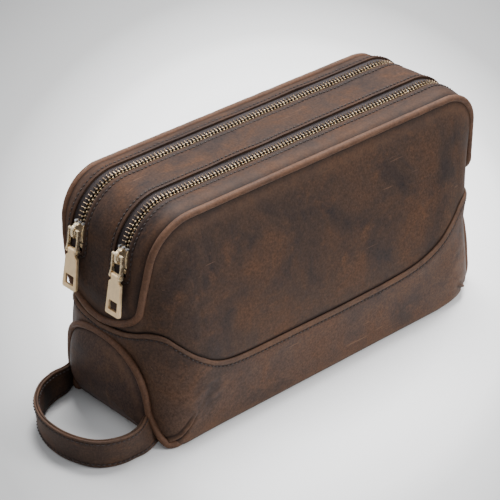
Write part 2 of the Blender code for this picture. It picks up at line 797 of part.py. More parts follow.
def pull(label, zip_y):
    """Slider, link and tab, each on an empty at its own joint."""
    runner = empty(f"{label}_slider_frame", None, gusset_point(-ARC_END, zip_y), END_LEAN)
    slider(label, runner)
    link_axis = empty(f"{label}_link_axis", runner, (LINK_AXIS_X, 0, LINK_AXIS_Z))
    link(label, link_axis)
    tab_axis = empty(f"{label}_tab_axis", link_axis, (0, 0, -LINK_REACH))
    tab(label, tab_axis)


# ---- carrying loop ----
def strap_layer(name, near, far):
    """One layer of the strap, between two distances to the left of its route, which is outwards."""
    route = spline_points(STRAP_ROUTE, 3)
    path = np.array(route)
    ahead = np.gradient(path, axis=0)
    ahead /= np.linalg.norm(ahead, axis=1)[:, None]
    out = np.stack([-ahead[:, 1], ahead[:, 0]], axis=1)
    ring = [*map(tuple, path + out * far), *map(tuple, (path + out * near)[::-1])]
    made = add(name, plate_data(name, [ring], STRAP_HEIGHT), LEATHER_STRAP)
    made.location = (0, 0, STRAP_FOOT_Z + STRAP_HEIGHT / 2)
    return made


# ---- inside ----
def rounded_ring(half_length, low_y, high_y, radius, z):
    points = []
    corners = ((1, high_y, 0), (-1, high_y, 90), (-1, low_y, 180), (1, low_y, 270))
    for side, cy, start in corners:
        mx = side * (half_length - radius)
        my = cy - radius if cy == high_y else cy + radius
        for turn in np.radians(start + np.linspace(0, 90, 5)):
            points.append((mx + radius * math.cos(turn), my + radius * math.sin(turn), z))
    return points


def lining(name, side):
    rows = []
    for z, half_length, outer, inner, radius in LINING_SECTIONS:
        low, high = sorted((side * outer, side * inner))
        rows.append(rounded_ring(half_length, low, high, radius, z))
    return surface(name, rows, LINING_THICK, LINING, loop=True, flip=True, cap=True)


def board(name, half_length, half_width, radius, thickness, finish):
    ring = [(x, y) for x, y, _ in rounded_ring(half_length, -half_width, half_width, radius, 0)]
    return add(name, plate_data(name, [ring], thickness), finish)


def interior():
    lining("front_lining", -1)
    lining("back_lining", 1)
    divider = board("divider_board", DIVIDER_HALF_LENGTH, DIVIDER_HALF_HEIGHT, 0.020, DIVIDER_THICK, LINING)
    divider.rotation_euler = (math.pi / 2, 0, 0)
    divider.location = (0, 0, DIVIDER_Z)
    base = board("base_board", BOARD_HALF_LENGTH, BOARD_HALF_DEPTH, 0.012, BOARD_THICK, BOARD)
    base.location = (0, 0, LEATHER + 2 * GAP + BOARD_THICK / 2)


clear_scene()
BAG = collection("toiletry_bag")
CUTTERS = collection("cutters")
ACROSS = Matrix.Rotation(math.pi / 2, 3, "X")

LEATHER_UPPER = material("leather_upper", (0.095, 0.052, 0.034), 0.55)
LEATHER_LOWER = material("leather_lower", (0.115, 0.062, 0.040), 0.55)
LEATHER_END = material("leather_end", (0.080, 0.045, 0.032), 0.55)
LEATHER_GUSSET = material("leather_gusset", (0.100, 0.055, 0.036), 0.55)
LEATHER_PIPING = material("leather_piping", (0.150, 0.078, 0.048), 0.50)
LEATHER_STRAP = material("leather_strap", (0.110, 0.058, 0.036), 0.50)
TAPE = material("zip_tape", (0.045, 0.024, 0.022), 0.85)
BRASS = material("antique_brass", (0.480, 0.400, 0.270), 0.35, 1.0)
LINING = material("lining_fabric", (0.060, 0.050, 0.042), 0.90)
BOARD = material("stiffener", (0.080, 0.080, 0.080), 0.70)

RIM_LINE = rim_line()

upper_panel("upper_front_panel", -1)
upper_panel("upper_back_panel", 1)
lower_panel()
for end_name, end_side in (("left", -1), ("right", 1)):
    end_panel(f"{end_name}_end_panel", end_side)
    end_piping(f"{end_name}_end_piping", end_side)
gusset_piping()
gusset_panel()
for zip_name, zip_side in (("front", -1), ("back", 1)):
    zip_parts(zip_name, zip_side * ZIP_Y)
    pull(zip_name, zip_side * ZIP_Y)
strap_layer("strap_outer_layer", GAP / 2, GAP / 2 + STRAP_LAYER)
strap_layer("strap_inner_layer", -GAP / 2 - STRAP_LAYER, -GAP / 2)
interior()
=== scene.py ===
"""Looks for the leather toiletry bag: soft leather shell, piping, real zip teeth, pulls and stitching.

Metres, +Z up. +X runs along the bag, the front faces -Y, the carrying loop is at the -X end.
"""
import math
from collections import namedtuple
from functools import partial

import bmesh
import bpy
import numpy as np
from mathutils import Matrix, Vector, noise


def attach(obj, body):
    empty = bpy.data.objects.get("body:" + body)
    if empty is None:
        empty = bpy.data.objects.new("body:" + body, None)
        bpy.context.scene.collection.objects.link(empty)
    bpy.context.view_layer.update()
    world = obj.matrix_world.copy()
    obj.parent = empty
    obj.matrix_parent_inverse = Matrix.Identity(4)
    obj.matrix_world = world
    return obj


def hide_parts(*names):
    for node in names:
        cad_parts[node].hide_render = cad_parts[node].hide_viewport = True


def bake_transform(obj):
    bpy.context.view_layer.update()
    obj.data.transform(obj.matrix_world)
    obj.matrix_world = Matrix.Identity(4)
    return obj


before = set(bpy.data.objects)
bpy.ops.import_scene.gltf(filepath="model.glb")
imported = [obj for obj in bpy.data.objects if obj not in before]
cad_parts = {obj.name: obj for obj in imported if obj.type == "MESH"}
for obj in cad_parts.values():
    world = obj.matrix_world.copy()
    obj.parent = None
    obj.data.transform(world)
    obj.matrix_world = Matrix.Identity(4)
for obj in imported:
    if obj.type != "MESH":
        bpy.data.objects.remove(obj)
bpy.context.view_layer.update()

# ---- sizes shared with the CAD part ----
RIM_Z = 0.141
RIM_CORNER_RADIUS = 0.029
RIM_CORNER_X = 0.106
END_LEAN = math.radians(8)
RIM_HALF_WIDTH = 0.0413
RIM_NARROWING = 0.129
RIM_PINCH = 0.15
U_BOTTOM_Z = 0.0676
U_RISE = 0.0184
U_POWER = 1.75
FOOT_HALF_LENGTH = 0.138
FOOT_HALF_DEPTH = 0.0602
FOOT_LEVEL = 0.012
GUSSET_RISE = 0.0036
SHOULDER_Y = 0.028
ZIP_Y = 0.0199
SLOT_FRONT, SLOT_REAR = 0.0036, 0.0070  # the slot edges before and behind its zip
SLOT_HALF = (SLOT_FRONT + SLOT_REAR) / 2
SLOT_SHIFT = (SLOT_REAR - SLOT_FRONT) / 2
SLOT_LEFT_Z = 0.1035
SLOT_RIGHT_Z = 0.0985
ARCH_Z = 0.014
ARCH_HALF_WIDTH = 0.0395
ARCH_HEIGHT = 0.043
ARCH_POWER = 2.4
SLIDER_LENGTH = 0.0125
SLIDER_HALF_WIDTH = 0.0045
LINK_AXIS_X = -0.0033
LINK_AXIS_Z = 0.0019
LINK_REACH = 0.0132
TAB_LENGTH = 0.0252
LINK_STANDOFF = 0.0011  # the pull hangs this much further out than in the CAD

# ---- the soft shell ----
LEATHER = 0.0018
PIPING_RADIUS = 0.0022
CORNER_BASE = 0.026  # the corner radius in plan that the places below are laid out on
# The shell's corner radii in plan, at the foot and from CORNER_Z_FULL up, by end and side
CORNERS = {
    ("left", "front"): (0.012, 0.036),
    ("left", "back"): (0.040, 0.046),
    ("right", "front"): (0.038, 0.052),
    ("right", "back"): (0.030, 0.042),
}
CORNER_Z_FULL = 0.060
EDGE_LEFT, EDGE_MIDDLE, EDGE_RIGHT = 0.004, 0.005, 0.012  # radius of the bottom edge along the bag
FRONT_BULGE, END_BULGE = 0.0020, 0.0005
# Places round the foot: 0 to 1 along an end, 1 to 2 round the corner, 2 to 3 along the front
PLACE_AT_U, PLACE_AT_CORNER, PLACE_AT_TOP = 0.97, 1.39, 2.054
FULLNESS = ((0.53, 1.2, 2.07), (1.1, 3.5, 1.7))  # places, and how soon the shell spreads out below each
# The lapped seam on the left and right halves: (place round the foot, height in millimetres)
SEAM_LEFT = (
    (0, 64), (0.54, 66.5), (0.9, 70), (1.2, 71.8), (1.42, 70.8), (1.62, 65.5),
    (1.82, 59.2), (1.91, 56.5), (2, 54.1), (2.06, 50), (2.13, 46.9), (2.22, 45.2), (2.4, 44.3), (3, 43.5),
)
SEAM_RIGHT = (
    (0, 64), (0.54, 66.5), (1.2, 70), (1.75, 71.5), (1.97, 69.2), (2.12, 60.6),
    (2.26, 51.4), (2.42, 46), (2.65, 44), (3, 43.5),
)
FRONT_STRETCH = 1.75  # a place's worth of front is this much longer than one of the corner
LAP_LIFT = 0.0013
LAP_ROLL = 0.0011
LAP_STITCH = 0.0036  # stitch row below the turned edge
DOME = 0.0085
FRONT_FLARE = {-1: 0.0145, 1: 0.004}  # how far the end panels widen at their front feet
BACK_TUCK = 0.010  # and how far they narrow at their back feet

STRAP_ROUTE = (  # (x, y) from the front root round the loop to the back root
    (-0.1365, -0.0412), (-0.1410, -0.0430), (-0.1530, -0.0480), (-0.1680, -0.0480), (-0.1810, -0.0400),
    (-0.1880, -0.0230), (-0.1880, -0.0040), (-0.1810, 0.0130), (-0.1690, 0.0250), (-0.1565, 0.0302),
    (-0.1460, 0.0316), (-0.1385, 0.0348), (-0.1330, 0.0400),
)
STRAP_HALF = 0.0098
STRAP_LAYER = 0.00140
STRAP_GAP = 0.00008  # half the gap between the strap's layers
STRAP_STITCH = 0.76  # the strap's stitch rows, as a share of its half height
STITCH_LENGTH, STITCH_PITCH, THREAD_RADIUS = 0.0020, 0.0031, 0.00042
LIP_STITCH = 0.0030  # stitch row beside a zip's slot
TOOTH_PITCH = 0.00265
TAPE_RISE = 0.0008  # each rear tape climbs towards its slot's higher rear edge
# Steps inwards, along Y and up by which the front (0) and back (-1) feet of an end's piping turn in
FOOT_STEPS = {
    "left": {
        0: ((0.0115, 0.0012, -0.0024), (0.0080, -0.0020, -0.0016), (0.0045, -0.0022, -0.0008),
            (0.0014, -0.0008, -0.0004)),
        -1: ((0.004, -0.001, -0.0004),),
    },
    "right": {0: ((0.0040, 0.0010, -0.0004),), -1: ((0.004, -0.001, -0.0004),)},
}


# ---- small maths ----
def ease(value):
    value = np.clip(value, 0.0, 1.0)
    return value * value * (3 - 2 * value)


def mix(a, b, share):
    return a + (b - a) * share


def hump(distance, width):
    return np.exp(-((distance / width) ** 2))


def softened(values, reach):
    """Values with their corners rounded off over a few neighbours; the first and last stay."""
    kernel = hump(np.arange(-3 * reach, 3 * reach + 1), reach)
    kernel /= kernel.sum()
    padded = np.pad(values, 3 * reach, mode="reflect", reflect_type="odd")
    return np.convolve(padded, kernel, mode="valid")


def ripple(points, size, seed):
    """Smooth noise between about -1 and 1 at each point."""
    shift = Vector((seed * 7.31, seed * 3.17, seed * 5.71))
    flat = [noise.noise(Vector(p) / size + shift) for p in points.reshape(-1, 3)]
    return np.array(flat).reshape(points.shape[:-1])


def spline_points(points, steps):
    """A smooth curve through given points (Catmull-Rom)."""
    route = [np.array(p, float) for p in points]
    route = [2 * route[0] - route[1], *route, 2 * route[-1] - route[-2]]
    made = []
    for a, b, c, d in zip(route, route[1:], route[2:], route[3:]):
        for t in np.arange(steps) / steps:
            square = 2 * a - 5 * b + 4 * c - d
            cube = 3 * b - a - 3 * c + d
            made.append(0.5 * (2 * b + (c - a) * t + square * t**2 + cube * t**3))
    made.append(route[-2])
    return np.array(made)


def lengths(path):
    """Distance along a path at each of its points."""
    return np.concatenate([[0.0], np.cumsum(np.linalg.norm(np.diff(path, axis=0), axis=1))])


def interpolated(places, known, values):
    """Rows of values, known at some places, at other places."""
    return np.stack([np.interp(places, known, column) for column in values.T], axis=1)


def resampled(path, places):
    return interpolated(places, lengths(path), path)


def unit(vectors):
    return vectors / np.maximum(np.linalg.norm(vectors, axis=-1, keepdims=True), 1e-12)


# ---- mesh helpers ----
def make_object(name, data, finish, body):
    made = bpy.data.objects.new(name, data)
    bpy.context.scene.collection.objects.link(made)
    made.data.materials.append(finish)
    if body:
        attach(made, body)
    return made


def stand_in(node):
    """The piece is shown instead of its CAD node."""
    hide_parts(node)


def edited(piece, edit=None):
    """Edits a piece's mesh, then turns all its faces outwards and smooths them."""
    bm = bmesh.new()
    bm.from_mesh(piece.data)
    if edit:
        edit(bm)
    bmesh.ops.recalc_face_normals(bm, faces=bm.faces)
    bm.to_mesh(piece.data)
    bm.free()
    piece.data.shade_smooth()


def mesh_object(name, verts, faces, finish, body):
    data = bpy.data.meshes.new(name)
    data.from_pydata([tuple(point) for point in verts], [], faces)
    data.update()
    data.shade_smooth()
    return make_object(name, data, finish, body)


def grid_object(
    name, rows, finish, body, loop=False, caps=False, skip=None, flip=False, paint=None, uv=None
):
    """A surface through rows of points. loop joins each row's ends, caps closes the first and last rows."""
    rows = np.asarray(rows, float)
    height, width = rows.shape[:2]
    faces = []
    for j in range(height - 1):
        for i in range(width if loop else width - 1):
            if skip is None or not skip(j, i):
                k = (i + 1) % width
                faces.append((j * width + i, j * width + k, (j + 1) * width + k, (j + 1) * width + i))
    if caps:
        faces.append(tuple(range(width))[::-1])
        faces.append(tuple(range((height - 1) * width, height * width)))
    if flip:
        faces = [face[::-1] for face in faces]
    made = mesh_object(name, rows.reshape(-1, 3), faces, finish, body)
    for label, values in (paint or {}).items():
        layer = made.data.attributes.new(label, "FLOAT", "POINT")
        layer.data.foreach_set("value", np.asarray(values, np.float32).reshape(-1))
    if uv is not None:
        layer = made.data.uv_layers.new(name="UVMap")
        flat = np.asarray(uv).reshape(-1, 2)
        for corner in made.data.loops:
            layer.data[corner.index].uv = flat[corner.vertex_index]
    return made


def thickened(piece, thickness):
    modifier(piece, "SOLIDIFY", thickness=thickness, offset=-1.0)


def modifier(item, kind, **settings):
    made = item.modifiers.new(kind.lower(), kind)
    for key, value in settings.items():
        setattr(made, key, value)


def grid_normals(rows, loop=False):
    """Unit normals of a grid of points, by the right-hand rule from rows to columns."""
    if loop:
        wide = np.concatenate([rows[:, -1:], rows, rows[:, :1]], axis=1)
        across = np.gradient(wide, axis=1)[:, 1:-1]
    else:
        across = np.gradient(rows, axis=1)
    down = np.gradient(rows, axis=0)
    return unit(np.cross(across, down))


def tube_rings(path, radius, sides, closed):
    """Rings of points round a path, with frames carried along it."""
    if closed:
        ahead = unit(np.roll(path, -1, axis=0) - np.roll(path, 1, axis=0))
    else:
        ahead = unit(np.gradient(path, axis=0))
    side = np.cross(ahead[0], (0.0, 0.0, 1.0) if abs(ahead[0][2]) < 0.9 else (1.0, 0.0, 0.0))
    rings = []
    angles = np.arange(sides) / sides * 2 * math.pi
    for point, direction in zip(path, ahead):
        side = unit(side - direction * np.dot(side, direction))
        other = np.cross(direction, side)
        rings.append([point + radius * (math.cos(a) * side + math.sin(a) * other) for a in angles])
    return np.array(rings)


def copies(name, shape, centres, axes, finish, body):
    """One object of many copies of a (vertices, faces) shape, each with its own centre and axes."""
    verts, faces = shape
    placed = centres[:, None] + sum(verts[None, :, k, None] * axis[:, None] for k, axis in enumerate(axes))
    every = [tuple(i + n * len(verts) for i in face) for n in range(len(centres)) for face in faces]
    return mesh_object(name, placed.reshape(-1, 3), every, finish, body)


def stitch_shape():
    """A short thread loop along X, standing on the leather: its ends dip into the holes."""
    rings = []
    for share in np.linspace(-1, 1, 7):
        lift, width = 0.9 - 1.3 * share**4, 1.0 - 0.45 * share**6
        angles = np.arange(6) * math.pi / 3
        rings.append([(share, width * math.cos(a), lift + width * math.sin(a)) for a in angles])
    faces = []
    for j in range(0, 36, 6):
        faces += [(j + i, j + (i + 1) % 6, j + 6 + (i + 1) % 6, j + 6 + i) for i in range(6)]
    size = (STITCH_LENGTH / 2, THREAD_RADIUS, THREAD_RADIUS)
    return np.array(rings).reshape(-1, 3) * size, [*faces, tuple(range(6))[::-1], tuple(range(36, 42))]


def stitch_row(name, path, normals, body, closed=False):
    """Stitches along a path on a surface, with the surface's normals."""
    if closed:
        path, normals = (np.concatenate([values, values[:1]]) for values in (path, normals))
    along = lengths(path)
    count = int(along[-1] / STITCH_PITCH)
    places = (np.arange(count) + 0.5) * along[-1] / count
    ahead = unit(resampled(path, places + 0.0006) - resampled(path, places - 0.0006))
    up = unit(interpolated(places, along, normals))
    axes = (ahead, unit(np.cross(up, ahead)), up)
    return copies(name, stitch_shape(), resampled(path, places), axes, THREAD, body)


# ---- materials ----
class Nodes:
    """Short names for building a node tree. A value is a number, a colour or another node's socket."""

    def __init__(self, name):
        self.material = bpy.data.materials.new(name)
        self.material.use_nodes = True
        self.tree = self.material.node_tree
        self.shader = self.tree.nodes["Principled BSDF"]

    def feed(self, socket, value):
        if isinstance(value, bpy.types.NodeSocket):
            self.tree.links.new(value, socket)
        elif socket.type == "RGBA":
            socket.default_value = (*value, 1)
        else:
            socket.default_value = value

    def node(self, kind, inputs=(), **settings):
        made = self.tree.nodes.new(kind)
        for key, value in settings.items():
            setattr(made, key, value)
        for key, value in dict(inputs).items():
            self.feed(made.inputs[key], value)
        return made

    def place(self, scale=(1, 1, 1), turn=(0, 0, 0), uv=False, shift=(0, 0, 0)):
        source = self.node("ShaderNodeTexCoord").outputs["UV" if uv else "Object"]
        inputs = {"Vector": source, "Scale": scale, "Rotation": turn, "Location": shift}
        return self.node("ShaderNodeMapping", inputs).outputs["Vector"]

    def noise(self, vector, scale, detail=3.0, rough=0.5, distortion=0.0):
        inputs = {"Vector": vector, "Scale": scale, "Detail": detail, "Roughness": rough}
        inputs["Distortion"] = distortion
        return self.node("ShaderNodeTexNoise", inputs).outputs["Fac"]

    def wave(self, vector, scale, direction, distortion=0.0):
        inputs = {"Vector": vector, "Scale": scale, "Distortion": distortion}
        made = self.node("ShaderNodeTexWave", inputs, wave_type="BANDS", bands_direction=direction)
        return made.outputs["Fac"]

    def ramp(self, value, stops):
        """A colour ramp from (position, colour) stops in order."""
        made = self.node("ShaderNodeValToRGB", {"Fac": value})
        ends = made.color_ramp.elements
        for end, (position, colour) in ((ends[0], stops[0]), (ends[1], stops[-1])):
            end.position = position
            end.color = (*colour, 1)
        for position, colour in stops[1:-1]:
            ends.new(position).color = (*colour, 1)
        return made.outputs["Color"]

    def range(self, value, low, high, to_low=0.0, to_high=1.0):
        inputs = {"Value": value, "From Min": low, "From Max": high, "To Min": to_low, "To Max": to_high}
        return self.node("ShaderNodeMapRange", inputs, interpolation_type="SMOOTHSTEP").outputs["Result"]

    def maths(self, operation, a, b):
        return self.node("ShaderNodeMath", {0: a, 1: b}, operation=operation).outputs["Value"]

    def blend(self, share, first, second, mode="MIX"):
        made = self.node("ShaderNodeMix", data_type="RGBA", blend_type=mode)
        for key, value in (("Factor", share), ("A", first), ("B", second)):
            self.feed(made.inputs[key], value)
        return made.outputs["Result"]

    def attribute(self, name):
        return self.node("ShaderNodeAttribute", attribute_name=name).outputs["Fac"]

    def finish(self, colour, roughness, bumps, **settings):
        """Sets the shader. bumps are (height, strength, distance), settings are the shader's own numbers."""
        self.feed(self.shader.inputs["Base Color"], colour)
        self.feed(self.shader.inputs["Roughness"], roughness)
        for key, value in settings.items():
            self.shader.inputs[key.replace("_", " ")].default_value = value
        normal = None
        for height, strength, distance in bumps:
            inputs = {"Height": height, "Strength": strength, "Distance": distance}
            made = self.node("ShaderNodeBump", inputs)
            if normal is not None:
                self.feed(made.inputs["Normal"], normal)
            normal = made.outputs["Normal"]
        self.feed(self.shader.inputs["Normal"], normal)
        return self.material


def mixed(a, b, share):
    return tuple(mix(x, y, share) for x, y in zip(a, b))


def scuff_mask(n, uv, seed):
    """Sparse thin scratches in two directions."""
    masks = []
    for turn, shift in ((0.5, 1.7), (-0.9, 4.1)):
        stretched = n.place(scale=(30, 620, 620), turn=(turn, turn * 0.6, turn), uv=uv, shift=(shift,) * 3)
        thin = n.range(n.noise(stretched, 1.0, 1.0), 0.735, 0.78)
        sparse = n.range(n.noise(n.place(uv=uv, shift=(shift + seed,) * 3), 34.0, 1.0), 0.50, 0.66)
        masks.append(n.maths("MULTIPLY", thin, sparse))
    return n.maths("MAXIMUM", *masks)


def leather(name, dark, middle, rust, seed, uv=False, patch=26.0, shine=0.17):
    """Waxed pull-up leather: dark bluish patches over brown, rust clouds, fine scuffs, paler worn edges, and
    painted shade in creases, seams and by the piping.
    """
    n = Nodes(name)
    here = n.place(uv=uv, shift=(seed, seed * 0.7, seed * 1.3))
    slanted = n.place(scale=(1, 2.2, 1), turn=(0.3, 0.2, 0.7 + seed), uv=uv)
    clouds = n.noise(here, patch, 9.0, 0.70, 0.5)
    colour = n.ramp(clouds, ((0.36, dark), (0.50, middle), (0.64, mixed(middle, rust, 0.5))))
    rusty = n.range(n.noise(slanted, patch * 1.6, 8.0, 0.74, 0.3), 0.50, 0.72, 0.0, 0.75)
    colour = n.blend(rusty, colour, rust)
    greys = ((0.28, (0.24, 0.24, 0.25)), (0.72, (0.78, 0.76, 0.74)))
    colour = n.blend(0.85, colour, n.ramp(n.noise(here, 700.0, 4.0, 0.7), greys), "OVERLAY")
    scuffs = scuff_mask(n, uv, seed)
    colour = n.blend(n.maths("MULTIPLY", scuffs, 0.5), colour, WORN)
    broken = n.range(n.noise(here, 140.0, 3.0, 0.6), 0.3, 0.75, 0.45, 1.0)
    colour = n.blend(n.maths("MULTIPLY", n.attribute("wear"), broken), colour, WORN)
    # painted shade: this attribute darkens creases, seams, grooves and strips beside the piping towards near
    # black
    colour = n.blend(n.attribute("painted_shade"), colour, (0.010, 0.006, 0.005))
    rough = n.range(clouds, 0.3, 0.7, 0.56, 0.70)
    grain = n.node("ShaderNodeTexVoronoi", {"Vector": here, "Scale": 1100.0}, feature="SMOOTH_F1")
    pores, soft = grain.outputs["Distance"], n.noise(here, 260.0, 4.0, 0.6)
    bumps = ((soft, 0.30, 0.0004), (pores, 0.16, 0.0003), (scuffs, 0.25, 0.0002))
    return n.finish(colour, rough, bumps, Specular_IOR_Level=shine)


def brass(name, bright, dull, rough, seed=0.0):
    """Satin antique brass: cloudy tarnish, darker in the grain, brushed lightly."""
    n = Nodes(name)
    here = n.place(shift=(seed, seed, seed))
    cloud = n.noise(here, 320.0, 3.0, 0.6)
    brushed = n.noise(n.place(scale=(700, 700, 2600)), 1.0, 2.0)
    tarnish = n.ramp(cloud, ((0.35, dull), (0.62, bright)))
    colour = n.blend(0.25, tarnish, n.ramp(brushed, ((0.3, dull), (0.7, bright))))
    bumps = ((brushed, 0.05, 0.0001), (n.noise(here, 700.0, 2.0), 0.05, 0.0001))
    return n.finish(colour, n.range(cloud, 0.3, 0.7, rough, rough + 0.14), bumps, Metallic=0.9)


def woven(name, dark, light, threads):
    """Woven cloth from its UVs: two crossed sets of threads."""
    n = Nodes(name)
    crossed = [n.wave(n.place(uv=True, turn=(0, 0, turn)), threads, "X", 0.6) for turn in (0.0, math.pi / 2)]
    height = n.maths("MULTIPLY", *crossed)
    fuzz = n.noise(n.place(), 700.0, 3.0)
    colour = n.blend(fuzz, n.ramp(height, ((0.1, dark), (0.8, light))), mixed(dark, light, 0.5))
    return n.finish(colour, 0.85, ((height, 0.5, 0.0002), (fuzz, 0.2, 0.0002)), Sheen_Weight=0.10)


def thread(name, dark, light):
    n = Nodes(name)
    twist = n.wave(n.place(), 900.0, "DIAGONAL")
    return n.finish(n.ramp(twist, ((0.2, dark), (0.8, light))), 0.7, ((twist, 0.4, 0.0001),))


def board(name, dark, light):
    n = Nodes(name)
    speck = n.noise(n.place(), 900.0, 2.0)
    return n.finish(n.ramp(speck, ((0.3, dark), (0.7, light))), 0.7, ((speck, 0.2, 0.0002),))


BLACK = (0.0, 0.0, 0.0)
DARK, MIDDLE = (0.0213, 0.0142, 0.0126), (0.0427, 0.0245, 0.0166)
RUST, WORN = (0.0790, 0.0363, 0.0182), (0.1501, 0.0790, 0.0474)
REDDISH = ((0.0553, 0.0277, 0.0174), (0.0751, 0.0371, 0.0221), (0.1027, 0.0490, 0.0277))
UPPER = leather("leather_upper", DARK, MIDDLE, RUST, 0.0)
BACK = leather("leather_back", DARK, MIDDLE, RUST, 2.3)
LOWER = leather("leather_lower", mixed(DARK, MIDDLE, 0.4), (0.0567, 0.0318, 0.0213), RUST, 4.4)
END_COLOURS = ((0.0269, 0.0171, 0.0160), (0.0440, 0.0269, 0.0215), (0.0835, 0.0451, 0.0269))
END = leather("leather_end", *END_COLOURS, 6.1)
TOP_COLOURS = (mixed(DARK, BLACK, 0.12), (0.0383, 0.0222, 0.0161), mixed(RUST, BLACK, 0.12))
GUSSET = leather("leather_gusset", *TOP_COLOURS, 8.7, shine=0.11)
PIPING = leather("leather_piping", *REDDISH, 1.9, patch=60.0)
STRAP = leather("leather_strap", mixed(DARK, MIDDLE, 0.5), (0.0442, 0.0261, 0.0182), RUST, 3.3, uv=True)
INSIDE_COLOURS = ((0.0111, 0.0071, 0.0063), (0.0190, 0.0118, 0.0095), RUST)
STRAP_INSIDE = leather("leather_strap_inside", *INSIDE_COLOURS, 5.2, uv=True)
# bright copy of the brass: on the slider's crown and plate rails it is a painted highlight; the link and pin
# use it as polished brass
BRIGHT_BRASS = brass("polished_brass_and_painted_highlight", (1.0, 0.85, 0.60), (0.66, 0.51, 0.33), 0.18)
TAB_BRASS = brass("satin_brass", (1.0, 0.77, 0.47), (0.90, 0.67, 0.40), 0.38)
# painted shade: the slider's plate, under-plate, post and flanges get a dark copy of the brass, standing for
# the shadow in its recesses
SHADED_SLIDER_BRASS = brass("slider_brass_painted_shade", (0.30, 0.24, 0.17), (0.16, 0.12, 0.08), 0.30, 2.0)
# painted highlight and shade: the tooth heads get the bright copy and the shanks the dark copy of one brass;
# the zip stops use the bright copy as plain brass
TOOTH_BRASS = brass("tooth_brass", (0.92, 0.75, 0.50), (0.58, 0.44, 0.28), 0.24, 3.0)
SHADED_SHANK_BRASS = brass("shank_brass_painted_shade", (0.30, 0.21, 0.14), (0.11, 0.08, 0.05), 0.34, 4.0)
STEEL = brass("nose_steel", (0.62, 0.62, 0.63), (0.22, 0.22, 0.23), 0.22, 5.0)
TAPE = woven("zip_tape", (0.010, 0.005, 0.005), (0.027, 0.013, 0.013), 620.0)
LINING = woven("lining_cloth", (0.025, 0.020, 0.017), (0.075, 0.062, 0.052), 500.0)
THREAD = thread("brown_thread", (0.010, 0.006, 0.006), (0.034, 0.020, 0.017))
BOARD = board("stiffener", (0.05, 0.05, 0.05), (0.09, 0.09, 0.09))


# ---- the rim and the gusset's surface ----
ARC_END = RIM_CORNER_X + RIM_CORNER_RADIUS * (math.pi / 2 - END_LEAN)
CORNER_Z = RIM_Z - RIM_CORNER_RADIUS
LINE_TOP_Z = CORNER_Z + RIM_CORNER_RADIUS * math.sin(END_LEAN)


def rim_path(distance):
    """x, z and outward normal of the rim in side view, at distances along it from the top's middle."""
    distance = np.asarray(distance, float)
    side = np.where(distance < 0, -1.0, 1.0)
    reach = np.abs(distance)
    turn = np.clip((reach - RIM_CORNER_X) / RIM_CORNER_RADIUS, 0, math.pi / 2 - END_LEAN)
    down = np.maximum(reach - ARC_END, 0)
    x = np.minimum(reach, RIM_CORNER_X) + RIM_CORNER_RADIUS * np.sin(turn) + down * math.sin(END_LEAN)
    z = CORNER_Z + RIM_CORNER_RADIUS * np.cos(turn) - down * math.cos(END_LEAN)
    return side * x, z, side * np.sin(turn), np.cos(turn)


def reach_at(z):
    return ARC_END + (LINE_TOP_Z - z) / math.cos(END_LEAN)


def rim_half_width(z):
    return RIM_HALF_WIDTH - RIM_NARROWING * (RIM_Z - z)


U_HALF_WIDTH = rim_half_width(U_BOTTOM_Z + U_RISE)


def pinched(points, share=1.0):
    """The rim's rear left side, below its corner, sits a little further in than the rest."""
    made = np.array(points)
    here = ease((-0.100 - points[..., 0]) / 0.030) * (points[..., 1] > 0)
    made[..., 1] *= 1 - RIM_PINCH * here * share * hump(points[..., 2] - 0.078, 0.021)
    return made


def u_height(y):
    share = np.minimum(np.abs(y) / U_HALF_WIDTH, 1.0)
    return U_BOTTOM_Z + U_RISE * (1 - (1 - share**U_POWER) ** (1 / U_POWER))


def gusset_point(distance, y, lift=0.0):
    """A place on the gusset, lifted along its normal. All may be arrays of one shape."""
    x, z, nx, nz = rim_path(distance)
    shoulder = np.clip((np.abs(y) - SHOULDER_Y) / (rim_half_width(z) - SHOULDER_Y), 0, 1)
    settle = ease((z - u_height(y)) / 0.018)
    rise = GUSSET_RISE * (1 - shoulder**2) * settle + lift
    return np.stack([x + nx * rise, y + 0 * x, z + nz * rise], axis=-1)


def rim_normals(distance):
    _, _, nx, nz = rim_path(distance)
    return np.stack([nx, 0 * nx, nz], axis=1)


# ---- the shell's surface ----
# Columns of the shell: their rim points, places round the foot, and signs of X and Y
Columns = namedtuple("Columns", "rim place side_x side_y")


def chained(first, second):
    return Columns(*(np.concatenate(values) for values in zip(first, second)))


def backwards(columns, start, stop=None):
    return Columns(*(values[::-1][start:stop] for values in columns))


def quarter(side_x, side_y):
    """From the end's middle to the front's middle, on one side."""
    turn = np.linspace(0, math.pi / 2, 26, endpoint=False)
    y = U_HALF_WIDTH * np.sin(turn)
    reach = [reach_at(u_height(y))]
    wide = [y]
    place = [PLACE_AT_U * np.sin(turn)]
    start = reach_at(U_BOTTOM_Z + U_RISE)
    for count, first, last, low, high in (
        (24, start, ARC_END, PLACE_AT_U, PLACE_AT_CORNER),
        (44, ARC_END, RIM_CORNER_X, PLACE_AT_CORNER, PLACE_AT_TOP),
        (84, RIM_CORNER_X, 0.0, PLACE_AT_TOP, 3.0),
    ):
        share = np.linspace(0, 1, count, endpoint=last == 0.0)
        reach.append(mix(first, last, share))
        wide.append(rim_half_width(rim_path(reach[-1])[1]))
        place.append(mix(low, high, share))
    x, z, _, _ = rim_path(np.concatenate(reach))
    rim = np.stack([np.abs(x), np.concatenate(wide), z], axis=1)
    place = softened(np.concatenate(place), 7)
    return Columns(rim, place, np.full(len(x), side_x), np.full(len(x), side_y))


def half_shell(side_y):
    """From the left end's middle over the front, or back, to the right end's middle."""
    return chained(quarter(-1.0, side_y), backwards(quarter(1.0, side_y), 1))


def whole_shell():
    return chained(half_shell(-1.0), backwards(half_shell(1.0), 1, -1))


